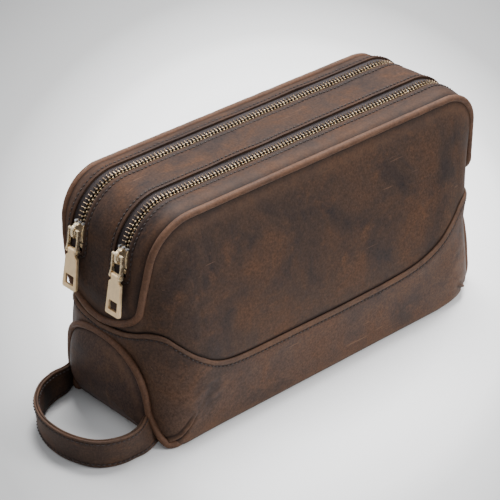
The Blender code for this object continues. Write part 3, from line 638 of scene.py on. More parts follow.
def corner_radius(side_x, side_y, z):
    """The shell's corner radius in plan at heights z; side_x and side_y say which corner."""
    share = ease((z - 0.004) / (CORNER_Z_FULL - 0.004))
    radius = 0.0
    for (end, face), (foot, full) in CORNERS.items():
        mask = ((side_x < 0) == (end == "left")) & ((side_y < 0) == (face == "front"))
        radius = radius + mask * mix(foot, full, share)
    return radius


def foot_ring(place, radius):
    """Where each place lies on the foot when its corner has this radius, and the outward normal there."""
    turn = np.clip(place - 1, 0, 1) * math.pi / 2
    cos, sin = np.cos(turn), np.sin(turn)
    inner_x, inner_y = FOOT_HALF_LENGTH - CORNER_BASE, FOOT_HALF_DEPTH - CORNER_BASE
    # a sharper corner: each place of the arc moves straight out from the arc's centre
    spare = np.maximum(CORNER_BASE - radius, 0)
    toward = spare * (cos + sin)
    on_arc = toward + np.sqrt(np.maximum(toward**2 - 2 * spare**2 + np.minimum(radius, CORNER_BASE) ** 2, 0))
    on_side = CORNER_BASE / np.maximum(cos, sin)
    reach = np.minimum(on_arc, on_side)
    reach = np.where((cos * reach < spare) | (sin * reach < spare), on_side, on_arc)
    reach = np.where((place > 1) & (place < 2), reach, CORNER_BASE)
    x = inner_x * (1 - np.clip(place - 2, 0, 1)) + reach * cos
    y = inner_y * np.clip(place, 0, 1) + reach * sin
    # a rounder corner: places near it move in towards its centre
    middle_x, middle_y = FOOT_HALF_LENGTH - radius, FOOT_HALF_DEPTH - radius
    from_x, from_y = x - middle_x, y - middle_y
    distance = np.maximum(np.hypot(from_x, from_y), 1e-9)
    round_off = (from_x > 0) & (from_y > 0) & (radius > CORNER_BASE)
    x = np.where(round_off, middle_x + from_x * radius / distance, x)
    y = np.where(round_off, middle_y + from_y * radius / distance, y)
    normal = unit(np.stack([np.maximum(x - middle_x, 0), np.maximum(y - middle_y, 0)], axis=-1))
    return x, y, normal[..., 0], normal[..., 1]


def bottom_edge(x):
    """The radius of the shell's bottom edge at x."""
    return np.interp(x, (-0.13, -0.10, 0.09, 0.13), (EDGE_LEFT, EDGE_MIDDLE, EDGE_MIDDLE, EDGE_RIGHT))


def shell(columns, z, out=0.0):
    """Points of the shell at heights z (rows by columns), moved outwards by out."""
    px, py, pz = columns.rim.T
    fullness = softened(np.interp(columns.place, *FULLNESS), 3)
    edge = bottom_edge(columns.side_x * px)
    share = np.clip((pz - z) / (pz - FOOT_LEVEL), 0, 1)
    spread = 1 - (1 - share) ** fullness
    fx, fy, nx, ny = foot_ring(columns.place, corner_radius(columns.side_x, columns.side_y, z))
    bulge = mix(END_BULGE, FRONT_BULGE, ease(columns.place - 1))
    sink = np.clip(1 - z / edge, 0, 1)
    inset = edge * (1 - np.sqrt(np.maximum(1 - sink**2, 0)))
    away = bulge * np.sin(math.pi * share) - inset + out
    x, y = mix(px, fx, spread) + nx * away, mix(py, fy, spread) + ny * away
    return pinched(np.stack([columns.side_x * x, columns.side_y * y, z + 0 * x], axis=-1))


def seam_height(columns):
    def way(place):
        return place + FRONT_STRETCH * np.maximum(place - 2, 0)

    heights = []
    for side in (SEAM_LEFT, SEAM_RIGHT):
        places, height = np.array(side).T
        curve = spline_points(np.stack([way(places), height / 1000], axis=1), 12)
        heights.append(np.interp(way(columns.place), *curve.T))
    return np.where(columns.side_x < 0, *heights)


DARTS = (  # each fold line as (x, z) on the front or back, from its tip down to the corner's foot
    (-1, -1, ((-0.1185, 0.0205), (-0.1255, 0.0130), (-0.1305, 0.0080), (-0.1350, 0.0050))),
    (-1, 1, ((-0.1130, 0.0170), (-0.1190, 0.0110), (-0.1250, 0.0050))),
    (1, -1, ((0.1050, 0.0150), (0.1120, 0.0100), (0.1180, 0.0050))),
    (1, 1, ((0.1080, 0.0160), (0.1150, 0.0100), (0.1210, 0.0050))),
)


def dart_fields(points):
    """How raised each point is by a folded dart, and how much painted shade its fold lines get there."""
    raised, fold_shade = np.zeros(points.shape[:-1]), np.zeros(points.shape[:-1])
    for side_x, side_y, route in DARTS:
        route = np.array(route)
        total = lengths(route)[-1]
        here = np.stack([points[..., 0], points[..., 2]], axis=-1)
        signed, along = np.zeros(here.shape[:-1]), np.zeros(here.shape[:-1])
        nearest = 1.0 + signed
        for k, (start, stop) in enumerate(zip(route, route[1:])):
            line = stop - start
            share = np.clip(((here - start) @ line) / (line @ line), 0, 1)
            off = here - start - share[..., None] * line
            distance = np.linalg.norm(off, axis=-1)
            side = side_x * (line[0] * off[..., 1] - line[1] * off[..., 0])
            closer = distance < nearest
            signed = np.where(closer, np.sign(side) * distance, signed)
            along = np.where(closer, (lengths(route)[k] + share * np.linalg.norm(line)) / total, along)
            nearest = np.minimum(nearest, distance)
        own_side = (np.sign(points[..., 1]) == side_y) & (nearest < 0.012)
        fade = ease(along / 0.35) * own_side
        strength = 1.0 if (side_x, side_y) == (-1, -1) else 0.6
        ridge = hump(signed - 0.0008, 0.0009)
        ridge = ridge - 0.9 * hump(signed + 0.0009, 0.0009) - 0.4 * hump(signed - 0.0026, 0.0009)
        raised += 0.0014 * strength * ridge * fade
        # painted shade in the fold lines
        folds = 1.3 * hump(signed + 0.0009, 0.0007) + 0.9 * hump(signed - 0.0025, 0.0005)
        fold_shade += strength * folds * np.maximum(fade, 0.5 * own_side * hump(nearest, 0.001))
    return raised, np.clip(fold_shade, 0, 1)


def wrinkles(points):
    """Fine slanted wrinkles gathered above the corner folds."""
    total = 0.0
    for side_x in (-1, 1):
        centre = np.array([side_x * 0.112, -0.060, 0.030])
        near = hump(np.linalg.norm(points - centre, axis=-1), 0.019)
        slanted = points * np.array([1.0, 1.0, 2.4])
        slanted[..., 2] += side_x * 0.8 * points[..., 0]
        waves = 0.00034 * ripple(slanted, 0.0085, 3) + 0.00018 * ripple(slanted, 0.004, 4)
        total = total + near * waves
    return total


def creases(points):
    """Wrinkles, and broad softness over the whole shell."""
    return 0.0005 * ripple(points, 0.045, 1) + 0.00022 * ripple(points, 0.016, 2) + wrinkles(points)


def lifted(points, loop, amount, middle):
    """Points moved by amounts along their surface's normals, away from a height in the middle of the bag."""
    normals = grid_normals(points, loop)
    outward = points - np.array([0, 0, middle])
    return points + normals * np.sign((normals * outward).sum(axis=-1).mean()) * amount[..., None]


def upper_panel(word, side_y, finish):
    columns = half_shell(side_y)
    top, seam = columns.rim[:, 2], seam_height(columns)
    z = mix(top, seam - 0.008, np.linspace(0, 1, 64)[:, None] ** 1.25)
    under_lap = ease((seam + 0.003 - z) / 0.004)
    points = shell(columns, z, -0.0007 * under_lap)
    points = lifted(points, False, creases(points) * ease((top - z) / 0.012) * (1 - under_lap), 0.07)
    points[:, 0, 1] = points[:, -1, 1] = side_y * 0.0001
    # painted shade: a dark line along the end seam between the front and back panels, darkening next to the
    # piping at the top, and under the lower panel's turned edge
    end_seam_shade = 0.9 * hump(points[..., 1], 0.0009) * (np.abs(points[..., 0]) > 0.13)
    painted_shade = 0.95 * hump(top - z, 0.0050) ** 2 + 0.9 * ease((seam + 0.0022 - z) / 0.0016) + end_seam_shade
    paint = {"wear": 0.30 * hump(top - z - 0.007, 0.004), "painted_shade": np.clip(painted_shade, 0, 1)}
    made = grid_object(f"upper_{word}", points, finish, "bag", flip=side_y < 0, paint=paint)
    thickened(made, LEATHER)
    stand_in(f"upper_{word}_panel")


def lower_wrap():
    """The lower panel: its turned edge along the seam, its wall, its foot and the bag's underside."""
    columns = whole_shell()
    seam = seam_height(columns)
    rows, wears, painted_shades = [], [], []

    def row(z, out, wear=0.0, painted_shade=0.0):
        rows.append(shell(columns, z, out))
        wears.append(wear + 0 * seam)
        painted_shades.append(painted_shade + 0 * seam)

    # painted shade on the turned edge's underside and at the start of its roll
    for depth in (0.010, 0.006, 0.003):
        row(seam - depth, LAP_LIFT - 2 * LAP_ROLL, 0.0, 0.8)
    for turn in np.linspace(math.pi, 0, 9):
        height = seam - LAP_ROLL + LAP_ROLL * math.sin(turn)
        out = LAP_LIFT - LAP_ROLL + LAP_ROLL * math.cos(turn)
        row(height, out, 0.55 - 0.25 * math.cos(turn), 0.5 * (turn > 2.6))
    turned = len(rows)
    for depth in (0.0016, 0.0021, 0.0026, 0.0031, 0.0036, 0.0041, 0.0047, 0.0054, 0.0064, 0.0076, 0.009):
        # painted shade in the stitch groove below the turned edge
        groove = 0.00045 * hump(depth - LAP_STITCH, 0.0007) - 0.00025 * hump(depth - 0.0018, 0.001)
        wear, painted_shade = 0.40 * hump(depth - 0.0016, 0.0012), 0.45 * hump(depth - LAP_STITCH, 0.0009)
        row(seam - depth, LAP_LIFT * (1 - ease(depth / 0.02)) - groove, wear, painted_shade)
    for share in np.linspace(0, 1, 46)[:-1]:
        z = mix(seam - 0.0105, 0.011, share)
        row(z, LAP_LIFT * (1 - ease((seam - z) / 0.02)))
    # painted shade: a dark line where the foot meets the floor, a painted contact shadow
    for z in np.linspace(0.011, 0.0, 22):
        row(z, 0.0, 0.25 * hump(z - 0.004, 0.003), 0.9 * ease((0.0026 - z) / 0.0022))
    rows, wear, painted_shade = np.array(rows), np.array(wears), np.array(painted_shades)
    raised, fold_shade = dart_fields(rows)
    settle = np.minimum(ease((seam - 0.004 - rows[..., 2]) / 0.010), ease((rows[..., 2] - 0.0005) / 0.004))
    settle[:turned] = 0
    rows = lifted(rows, True, (creases(rows) + raised) * settle, 0.03)
    rows[..., 2] = np.maximum(rows[..., 2], 0.0)
    wear = wear + np.clip(350 * raised, 0, 0.4) + np.clip(1600 * wrinkles(rows), 0, 0.4)
    # painted shade along the darts' fold lines
    painted_shade = np.clip(painted_shade + 0.9 * fold_shade, 0, 1)
    under = [rows[-1] * np.array([size, size, 1.0]) for size in (0.96, 0.85, 0.6, 0.3, 0.08)]
    plain = np.zeros((len(under), len(seam)))
    paint = {"wear": np.concatenate([wear, plain]), "painted_shade": np.concatenate([painted_shade, plain])}
    rows = np.concatenate([rows, under])
    made = grid_object("lower_wrap", rows, LOWER, "bag", loop=True, paint=paint, flip=True)

    def close_underside(bm):
        edges = [e for e in bm.edges if e.is_boundary and all(v.co.z < 0.004 for v in e.verts)]
        bmesh.ops.contextual_create(bm, geom=edges)

    edited(made, close_underside)
    thickened(made, 0.0007)
    stand_in("lower_wrap_panel")
    line = shell(columns, (seam - LAP_STITCH)[None], LAP_LIFT * 0.93 - 0.0004)[0]
    ahead = unit(np.roll(line, -1, axis=0) - np.roll(line, 1, axis=0))
    up = np.array([0, 0, 1.0])
    normals = unit(np.cross(ahead, up - ahead * (ahead @ up)[:, None]))
    normals *= np.sign((normals * line)[:, :2].sum(axis=1))[:, None]
    stitch_row("lap_stitches", line, normals, "bag", closed=True)


# ---- end panels and their piping ----
def arch(side, room=0.0, count=60):
    """The end panel's outline as (y, z) from the front foot over the top to the back foot."""
    half, high = ARCH_HALF_WIDTH + room, ARCH_HEIGHT + room
    straight = np.linspace(0.0024, ARCH_Z, 10, endpoint=False)
    turns = np.linspace(0, math.pi, count)
    over = [
        (
            -half * math.copysign(abs(math.cos(t)) ** (2 / ARCH_POWER), math.cos(t)),
            ARCH_Z + high * max(math.sin(t), 0.0) ** (2 / ARCH_POWER),
        )
        for t in turns
    ]
    ring = np.array([(-half, z) for z in straight] + over + [(half, z) for z in straight[::-1]])
    lower = np.clip((0.020 - ring[:, 1]) / 0.0176, 0, 1)
    flare = np.where(ring[:, 0] < 0, FRONT_FLARE[side] * lower**1.6, -BACK_TUCK * lower**2.2)
    ring[:, 0] += np.sign(ring[:, 0]) * flare
    return ring


def end_x(y, z, side):
    """How far out the shell's end stands, without the sign."""
    radius = corner_radius(np.full_like(y, side), y, z)
    edge = bottom_edge(side * FOOT_HALF_LENGTH)
    upper = rim_path(reach_at(U_BOTTOM_Z))[0]
    x = mix(FOOT_HALF_LENGTH, upper, np.clip((z - FOOT_LEVEL) / (U_BOTTOM_Z - FOOT_LEVEL), 0, 1))
    over = np.clip(np.abs(y) - (FOOT_HALF_DEPTH - radius), 0, radius * 0.98)
    sink = np.clip(1 - z / edge, 0, 1)
    return x - radius + np.sqrt(radius**2 - over**2) - edge * (1 - np.sqrt(1 - sink**2))


def end_panel(label, side):
    outline = arch(side, -0.0012)
    floor_y = np.linspace(outline[-1][0], outline[0][0], 40)[1:-1]
    ring = np.concatenate([outline, np.stack([floor_y, np.full(38, outline[0][1])], axis=1)])
    middle = np.array([0.0, 0.027])
    rows, wear, painted_shade = [], [], []
    sizes = np.concatenate([[1.0, 0.985, 0.97], np.linspace(0.95, 0.04, 30)])
    for size in sizes:
        y, z = (middle + (ring - middle) * size).T
        puff = DOME * (1 - size**3.0) ** 0.75 * mix(0.4, 1.0, ease((z - 0.001) / 0.014))
        rows.append(np.stack([side * (end_x(y, z, side) + puff + 0.0004), y, z], axis=1))
        wear.append(0.35 * hump(size - 0.86, 0.07) * ease((0.01 - y) / 0.03))
        # painted shade on the outer ring next to the piping
        painted_shade.append(np.full(len(ring), 0.85 * ease((size - 0.94) / 0.06)))
    rows = np.array(rows)
    amount = 0.0006 * ripple(rows, 0.03, 5) + 0.0002 * ripple(rows, 0.012, 6)
    rows[..., 0] += side * amount * ease((1 - sizes) / 0.1)[:, None]
    paint = {"wear": wear, "painted_shade": painted_shade}
    made = grid_object(f"{label}_end", rows, END, "bag", loop=True, flip=side > 0, paint=paint)

    def close_middle(bm):
        rim = [e for e in bm.edges if e.is_boundary]
        small = [e for e in rim if all(abs(v.co.y) < 0.005 and 0.02 < v.co.z < 0.035 for v in e.verts)]
        bmesh.ops.contextual_create(bm, geom=small)

    edited(made, close_middle)
    thickened(made, LEATHER)
    stand_in(f"{label}_end_panel")


def piping(name, path, node, closed=False):
    rings = tube_rings(path, PIPING_RADIUS, 16, closed)
    centres = rings.mean(axis=1, keepdims=True)
    rings = rings + unit(rings - centres) * (0.00012 * ripple(rings, 0.006, 9))[..., None]
    wear = np.clip(0.32 + 0.32 * ripple(rings, 0.02, 11), 0, 1)
    if closed:
        rings, wear = (np.concatenate([values, values[:1]]) for values in (rings, wear))
    paint = {"wear": wear, "painted_shade": 0 * wear}
    made = grid_object(name, rings, PIPING, "bag", loop=True, caps=not closed, flip=True, paint=paint)
    edited(made, lambda bm: bmesh.ops.remove_doubles(bm, verts=bm.verts, dist=1e-6))
    stand_in(node)


def end_piping(label, side):
    """The cord round an end panel; both its feet turn in under the shell."""
    ring = arch(side, 0.0004, 90)
    path = np.stack([side * (end_x(ring[:, 0], ring[:, 1], side) + 0.0012), ring[:, 0], ring[:, 1]], axis=1)
    inwards = np.array([-side, 1, 1])
    front, back = (path[end] + inwards * FOOT_STEPS[label][end] for end in (0, -1))
    path = np.concatenate([front, path, back])
    path = resampled(path, np.arange(0, lengths(path)[-1], 0.0012))
    path[:, 2] = np.maximum(path[:, 2], PIPING_RADIUS)
    piping(f"{label}_piping", path, f"{label}_end_piping")


def gusset_piping():
    whole = whole_shell()
    path = pinched(whole.rim * np.stack([whole.side_x, whole.side_y, np.ones(len(whole.place))], axis=1))
    outward = unit((path - np.array([0, 0, 0.05])) * np.array([1, 0, 1]))
    piping("rim_piping", path + outward * 0.0001, "gusset_piping", closed=True)


# ---- gusset ----
def slot_distance(y, distance):
    """Distance from the nearest slot's edge, negative inside it; distance is along the rim."""
    across = np.abs(np.abs(y - SLOT_SHIFT) - ZIP_Y) - SLOT_HALF
    left = -reach_at(SLOT_LEFT_Z) - distance
    right = distance - reach_at(SLOT_RIGHT_Z)
    beyond = np.maximum(left, right)
    outside = np.hypot(np.maximum(across, 0), np.maximum(beyond, 0))
    return np.where((across > 0) | (beyond > 0), outside, np.maximum(across, beyond))


def slot_lip(y, gap):
    """How far the leather stands up by a slot: a rolled edge, a stitched groove, a higher rear edge."""
    behind = (y > SLOT_SHIFT - ZIP_Y) & (y < 0) | (y > SLOT_SHIFT + ZIP_Y)
    rear = 0.0008 * hump(gap, 0.0070) * behind
    return rear + 0.0003 * hump(gap - 0.0010, 0.0011) - 0.0004 * hump(gap - LIP_STITCH, 0.0008)


def gusset_sway(points):
    """The gusset's soft waves, which fade out where the sliders travel."""
    return 0.0006 * ripple(points, 0.022, 15) * ease((points[..., 0] + 0.085) / 0.03)


def gusset():
    """The top strip with its two zip slots; their edges are turned leather."""
    near = np.array([0.0, 0.0006, 0.0012, 0.0018, 0.0024, 0.0030, 0.0037, 0.0047])
    front_out, front_in, rear_in, rear_out = (
        SLOT_SHIFT + middle + half for middle in (-ZIP_Y, ZIP_Y) for half in (-SLOT_HALF, SLOT_HALF)
    )
    across = np.concatenate([
        np.linspace(-U_HALF_WIDTH, front_out - 0.0058, 7), (front_out - near)[::-1], front_in + near,
        np.linspace(front_in + 0.0058, rear_in - 0.0058, 11), (rear_in - near)[::-1], rear_out + near,
        np.linspace(rear_out + 0.0054, U_HALF_WIDTH, 5),
    ])
    slots = [int(np.argmin(np.abs(across - edge))) for edge in (front_out, rear_in)]
    left, right = reach_at(SLOT_LEFT_Z), reach_at(SLOT_RIGHT_Z)
    along = np.append(np.arange(-left, right, 0.0016), right)
    shares = np.linspace(0, 1, 26)
    columns = [
        np.concatenate([-mix(bottom, left, shares[:-1]), along, mix(right, bottom, shares[1:])])
        for bottom in reach_at(u_height(across) + 0.0004)
    ]
    distance = np.array(columns).T
    first, last = len(shares) - 1, len(shares) + len(along) - 2
    z = rim_path(distance)[1]
    edge = np.maximum(rim_half_width(z), U_HALF_WIDTH)
    kept = np.where(across < 0, front_out, rear_out)
    spread = np.clip((across - kept) / (np.sign(across) * U_HALF_WIDTH - kept), 0, 1)
    beyond_slots = (across < front_out) | (across > rear_out)
    y = np.where(beyond_slots, mix(kept, np.sign(across) * edge, spread), across + 0 * z)
    gap = slot_distance(y, distance)
    belly = 0.0009 * hump(y, 0.010) * ease((z - u_height(y)) / 0.02)
    points = gusset_point(distance, y, slot_lip(y, gap) + belly)
    soft = 0.0005 * ripple(points, 0.035, 13) + 0.0002 * ripple(points, 0.012, 14)
    rim_gap = np.minimum(edge - np.abs(y), z - u_height(y))
    sway = gusset_sway(points) * ease(rim_gap / 0.006)
    points = lifted(points, False, soft * ease(gap / 0.006) + sway, 0.05)
    points = pinched(points, ease((y - rear_out - 0.001) / 0.006))
    wear = 0.22 * hump(gap - 0.0006, 0.0008) + 0.22 * hump(rim_gap - 0.006, 0.003)
    # painted shade next to the rim piping and in the stitch groove; the strip between the stitch row and the
    # slot edge is a little darker too
    painted_shade = 0.85 * hump(rim_gap, 0.0034) + 0.35 * hump(gap - LIP_STITCH, 0.0008) + 0.22 * (gap < LIP_STITCH)

    def in_slot(j, i):
        return first <= j < last and i in slots

    paint = {"wear": wear, "painted_shade": np.clip(painted_shade, 0, 1)}
    made = grid_object("gusset", points, GUSSET, "bag", skip=in_slot, flip=True, paint=paint)
    thickened(made, 0.0019)
    modifier(made, "BEVEL", width=0.0006, segments=3, limit_method="ANGLE", angle_limit=math.radians(60))
    stand_in("gusset_panel")


def slot_stitches(label, zip_y):
    """A closed stitch row round a zip's slot."""
    half, corner = SLOT_HALF + LIP_STITCH, 0.0025
    middle = zip_y + SLOT_SHIFT
    left, right = -reach_at(SLOT_LEFT_Z) - LIP_STITCH, reach_at(SLOT_RIGHT_Z) + LIP_STITCH
    run = np.arange(left + corner, right - corner, 0.001)
    rise = np.linspace(middle - half + corner, middle + half - corner, 6)
    turn = np.linspace(0, 1.5, 5)
    far, close = corner * (1 - np.sin(turn)), corner * (1 - np.cos(turn))
    distance = [run, right - far, 0 * rise + right, right - close, run[::-1], 0 * rise + left]
    y = [0 * run - half, close - half, rise - middle, half - far, 0 * run + half, middle - rise]
    distance, y = np.concatenate(distance), middle + np.concatenate(y)
    path = gusset_point(distance, y, 0.0009 * hump(y, 0.010) + slot_lip(y, slot_distance(y, distance)))
    path[:, 2] += gusset_sway(path)
    stitch_row(f"{label}_slot_stitches", path, rim_normals(distance), "bag", closed=True)


# ---- zips ----
def zip_tape(name, zip_y, side, node):
    distance = np.arange(-reach_at(SLOT_LEFT_Z - 0.004), reach_at(SLOT_RIGHT_Z - 0.004), 0.0016)
    offsets = np.array([0.0016, 0.0024, 0.0030, 0.0036, 0.0046, 0.0056, 0.0068, 0.0084])
    drop = -0.0014 - 0.0002 * hump(offsets - 0.0046, 0.0008)
    if side > 0:
        drop = drop + TAPE_RISE * ease((offsets - 0.0010) / 0.0070)
    else:
        drop = drop - 0.0007 * ease((offsets - 0.0030) / 0.0020)
    along, across = np.meshgrid(distance, offsets, indexing="ij")
    rows = gusset_point(along, zip_y + side * across, drop)
    made = grid_object(name, rows, TAPE, "bag", flip=side > 0, uv=np.stack([along, across], axis=-1))
    thickened(made, 0.0006)
    stand_in(node)


def tooth_shapes():
    """A tooth's shank and head: x along the zip, y inwards to the other row, z up."""
    clasp = ((0.00062, 0.0026, 0.0016), (0, -0.00270, -0.0002))
    root = ((0.00070, 0.0013, 0.0010), (0, -0.0001, -0.0008))
    head = ((0.00100, 0.0010, 0.0021), (0, -0.00115, 0.0))
    shapes = []
    for blocks in ((clasp, root), (head,)):
        bm = bmesh.new()
        for size, centre in blocks:
            made = bmesh.ops.create_cube(bm, size=1.0)
            bmesh.ops.scale(bm, vec=size, verts=made["verts"])
            bmesh.ops.translate(bm, vec=centre, verts=made["verts"])
        edges = list(bm.edges)
        bmesh.ops.bevel(bm, geom=edges, offset=0.00034, segments=3, affect="EDGES", clamp_overlap=True)
        faces = [tuple(v.index for v in face.verts) for face in bm.faces]
        shapes.append((np.array([v.co for v in bm.verts]), faces))
        bm.free()
    return shapes


def teeth_row(name, zip_y, side, phase, node, shapes):
    start = -reach_at(LINE_TOP_Z - SLIDER_LENGTH / 2 + 0.0002)
    distance = np.arange(start, reach_at(SLOT_RIGHT_Z + 0.0062), 0.0005)
    path, normals = gusset_point(distance, np.full_like(distance, zip_y)), rim_normals(distance)
    along = lengths(path)
    places = np.arange(0.0004 + phase * TOOTH_PITCH, along[-1] - 0.001, TOOTH_PITCH)
    up = unit(interpolated(places, along, normals))
    ahead = unit(np.stack([up[:, 2], 0 * up[:, 0], -up[:, 0]], axis=1))
    axes = (ahead, np.tile((0.0, -side, 0.0), (len(places), 1)), up)
    centres = resampled(path, places) - up * 0.0013
    # the bright heads and dark shanks are painted highlight and painted shade on one metal
    for (verts, faces), word, finish in zip(shapes, ("shanks", "heads"), (SHADED_SHANK_BRASS, TOOTH_BRASS)):
        if side > 0:
            faces = [face[::-1] for face in faces]
            verts = verts + np.outer(0.0011 * np.clip((-verts[:, 1] - 0.0014) / 0.0026, 0, 1), (0, 0, 1))
        made = copies(f"{name}_{word}", (verts, faces), centres, axes, finish, "bag")
        made.data.set_sharp_from_angle(angle=math.radians(35))
        if word == "shanks":
            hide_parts(node)


def zip_chain(label, zip_y):
    shapes = tooth_shapes()
    for side, word, phase in ((-1, "front", 0.0), (1, "rear", 0.5)):
        zip_tape(f"{label}_tape_{word}", zip_y, side, f"{label}_zip_tape_{word}")
        teeth_row(f"{label}_teeth_{word}", zip_y, side, phase, f"{label}_zip_teeth_{word}", shapes)


# ---- slider, link and tab, in the slider's own frame: -X outwards, +Z towards the open end ----
def slider_frame(zip_y):
    place = gusset_point(np.array(-ARC_END), np.array(zip_y))
    return Matrix.Translation(Vector(place)) @ Matrix.Rotation(END_LEAN, 4, "Y")


def bevelled(name, make, placed, finish, body, bevel, segments):
    """A hard piece from a bmesh recipe in the slider's frame, bevelled and set in place."""
    bm = bmesh.new()
    make(bm)
    bmesh.ops.remove_doubles(bm, verts=bm.verts, dist=1e-6)
    sharp = [e for e in bm.edges if len(e.link_faces) == 2 and e.calc_face_angle(0) > math.radians(30)]
    bmesh.ops.bevel(bm, geom=sharp, offset=bevel, segments=segments, affect="EDGES", clamp_overlap=True)
    data = bpy.data.meshes.new(name)
    bm.to_mesh(data)
    bm.free()
    data.transform(placed)
    data.shade_smooth()
    data.set_sharp_from_angle(angle=math.radians(38))
    return make_object(name, data, finish, body)


def solid(bm, rings):
    """A closed solid through rings of as many points each."""
    rings = [[bm.verts.new(point) for point in ring] for ring in rings]
    count = len(rings[0])
    for a, b in zip(rings, rings[1:]):
        for i in range(count):
            k = (i + 1) % count
            bm.faces.new((a[i], a[k], b[k], b[i]))
    bm.faces.new(rings[0][::-1])
    bm.faces.new(rings[-1])
    bmesh.ops.recalc_face_normals(bm, faces=bm.faces)


def prism(bm, outline, low, high):
    """An outline in the XZ plane, from y = low to y = high."""
    solid(bm, [[(x, y, z) for x, z in outline] for y in (low, high)])


def rectangle(low_x, high_x, low_z, high_z):
    return [(low_x, low_z), (high_x, low_z), (high_x, high_z), (low_x, high_z)]


def hard_pieces(label, body, placed, recipes):
    """Bevelled metal pieces from (name, recipe, finish, bevel, segments) entries, by name."""
    made = {}
    for name, make, finish, bevel, segments in recipes:
        made[name] = bevelled(f"{label}_{name}", make, placed, finish, f"{label}_{body}", bevel, segments)
    return made


def slider_plate_outline():
    """The slider's top plate from above: wide shoulders at the open end, a narrower tail."""
    half, length = SLIDER_HALF_WIDTH, SLIDER_LENGTH / 2
    side = [(half * 0.82, -length), (half * 0.98, -length * 0.5), (half * 0.86, 0.0), (half, length * 0.45)]
    side += [(half * 0.92, length * 0.85), (half * 0.45, length), (0.0004, length * 0.90)]
    return side + [(-y, z) for y, z in side[::-1]]


def flat_plate(bm, outline, outer_x, inner_x):
    """An outline in the YZ plane, between two places along X."""
    solid(bm, [[(x, y, z) for y, z in outline] for x in (outer_x, inner_x)])


def crown(bm, half_width):
    """The arched crown, from the plate at the nose over the link's bar and down again."""
    rings = []
    for turn in np.linspace(0, math.pi, 19):
        sin, cos = math.sin(turn), math.cos(turn)
        width = half_width * mix(0.72, 1.08, 0.5 + 0.5 * cos)
        outer = (-0.0010 - 0.0056 * sin**0.62, 0.0006 + 0.0050 * cos)
        inner = (-0.0010 - 0.0046 * sin**0.75, 0.0010 + 0.0036 * cos)
        corners = ((outer, -width), (outer, width), (inner, width), (inner, -width))
        rings.append([(x, y, z) for (x, z), y in corners])
    solid(bm, rings)


def plate_rail(bm, side):
    """The raised, waisted edge of the top plate."""
    rings = []
    for share in np.linspace(0, 1, 13):
        edge = SLIDER_HALF_WIDTH * (1.0 - 0.13 * math.sin(math.pi * share))
        high = 0.0014 - 0.0005 * (2 * share - 1) ** 2
        outline = ((-0.0004, edge), (-high, edge - 0.0001), (-high, edge - 0.0009), (-0.0004, edge - 0.0011))
        rings.append([(x, side * y, mix(-0.0058, 0.0056, share)) for x, y in outline])
    solid(bm, rings)


def slider(label, zip_y):
    outline = slider_plate_outline()
    shrunk = [(y * 0.98, z * 0.97) for y, z in outline]
    post, flange = rectangle(-0.0008, 0.0040, 0.0026, 0.0052), rectangle(-0.0006, 0.0010, -0.0050, 0.0048)

    def nose(bm):
        for y in (-0.0031, 0.0, 0.0031):
            prism(bm, rectangle(-0.0016, 0.0006, 0.0050, 0.0064), y - 0.0009, y + 0.0009)

    # painted light: the body takes the dark copy of the brass and the crown and rails the bright copy
    recipes = [
        ("slider_top", lambda bm: flat_plate(bm, outline, -0.0007, 0.0002), SHADED_SLIDER_BRASS, 0.00035, 2),
        ("slider_under", lambda bm: flat_plate(bm, shrunk, 0.0035, 0.0045), SHADED_SLIDER_BRASS, 0.0003, 2),
        ("crown", lambda bm: crown(bm, 0.00120), BRIGHT_BRASS, 0.00035, 3),
        ("post", lambda bm: prism(bm, post, -0.0005, 0.0005), SHADED_SLIDER_BRASS, 0.0001, 2),
        ("nose", nose, STEEL, 0.0003, 2),
    ]
    for side, word in ((-1, "front"), (1, "rear")):
        wall = partial(prism, outline=flange, low=side * 0.0040 - 0.0004, high=side * 0.0040 + 0.0004)
        recipes.append((f"plate_rail_{word}", partial(plate_rail, side=side), BRIGHT_BRASS, 0.0003, 3))
        recipes.append((f"flange_{word}", wall, SHADED_SLIDER_BRASS, 0.0002, 2))
    made = hard_pieces(label, "slider", slider_frame(zip_y), recipes)
    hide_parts(f"{label}_zip_slider")


def circle(radius, centre, start, stop, count):
    angles = np.linspace(start, stop, count)
    return [(centre[0] + radius * math.cos(a), centre[1] + radius * math.sin(a)) for a in angles]


def polygon(radius, z, sides):
    return circle(radius, (0, z), 0, 2 * math.pi * (sides - 1) / sides, sides)


def link(label, zip_y):
    placed = slider_frame(zip_y) @ Matrix.Translation((LINK_AXIS_X - LINK_STANDOFF, 0, LINK_AXIS_Z))
    bar, eye, eye_z = 0.00115, 0.0021, -LINK_REACH
    round_bar = polygon(0.00090, 0, 12)
    outline = circle(bar, (0, 0), 0.0, math.pi, 9) + [(-bar, eye_z + 0.0046)]
    outline += circle(eye, (0, eye_z), 0.82 * math.pi, 2.18 * math.pi, 17) + [(bar, eye_z + 0.0046)]

    def pin(bm):
        prism(bm, polygon(0.0008, eye_z, 12), -0.0047, 0.0047)
        for y in (-0.0049, 0.0049):
            prism(bm, polygon(0.0011, eye_z, 14), y - 0.0002, y + 0.0002)

    made = hard_pieces(label, "link", placed, (
        ("link_front", lambda bm: prism(bm, outline, -0.0046, -0.0034), BRIGHT_BRASS, 0.00038, 3),
        ("link_rear", lambda bm: prism(bm, outline, 0.0034, 0.0046), BRIGHT_BRASS, 0.00038, 3),
        ("link_bar", lambda bm: prism(bm, round_bar, -0.0038, 0.0038), BRIGHT_BRASS, 0.0001, 2),
        ("pin", pin, BRIGHT_BRASS, 0.0001, 2),
    ))
    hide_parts(f"{label}_pull_link")
    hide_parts(f"{label}_pull_pin")


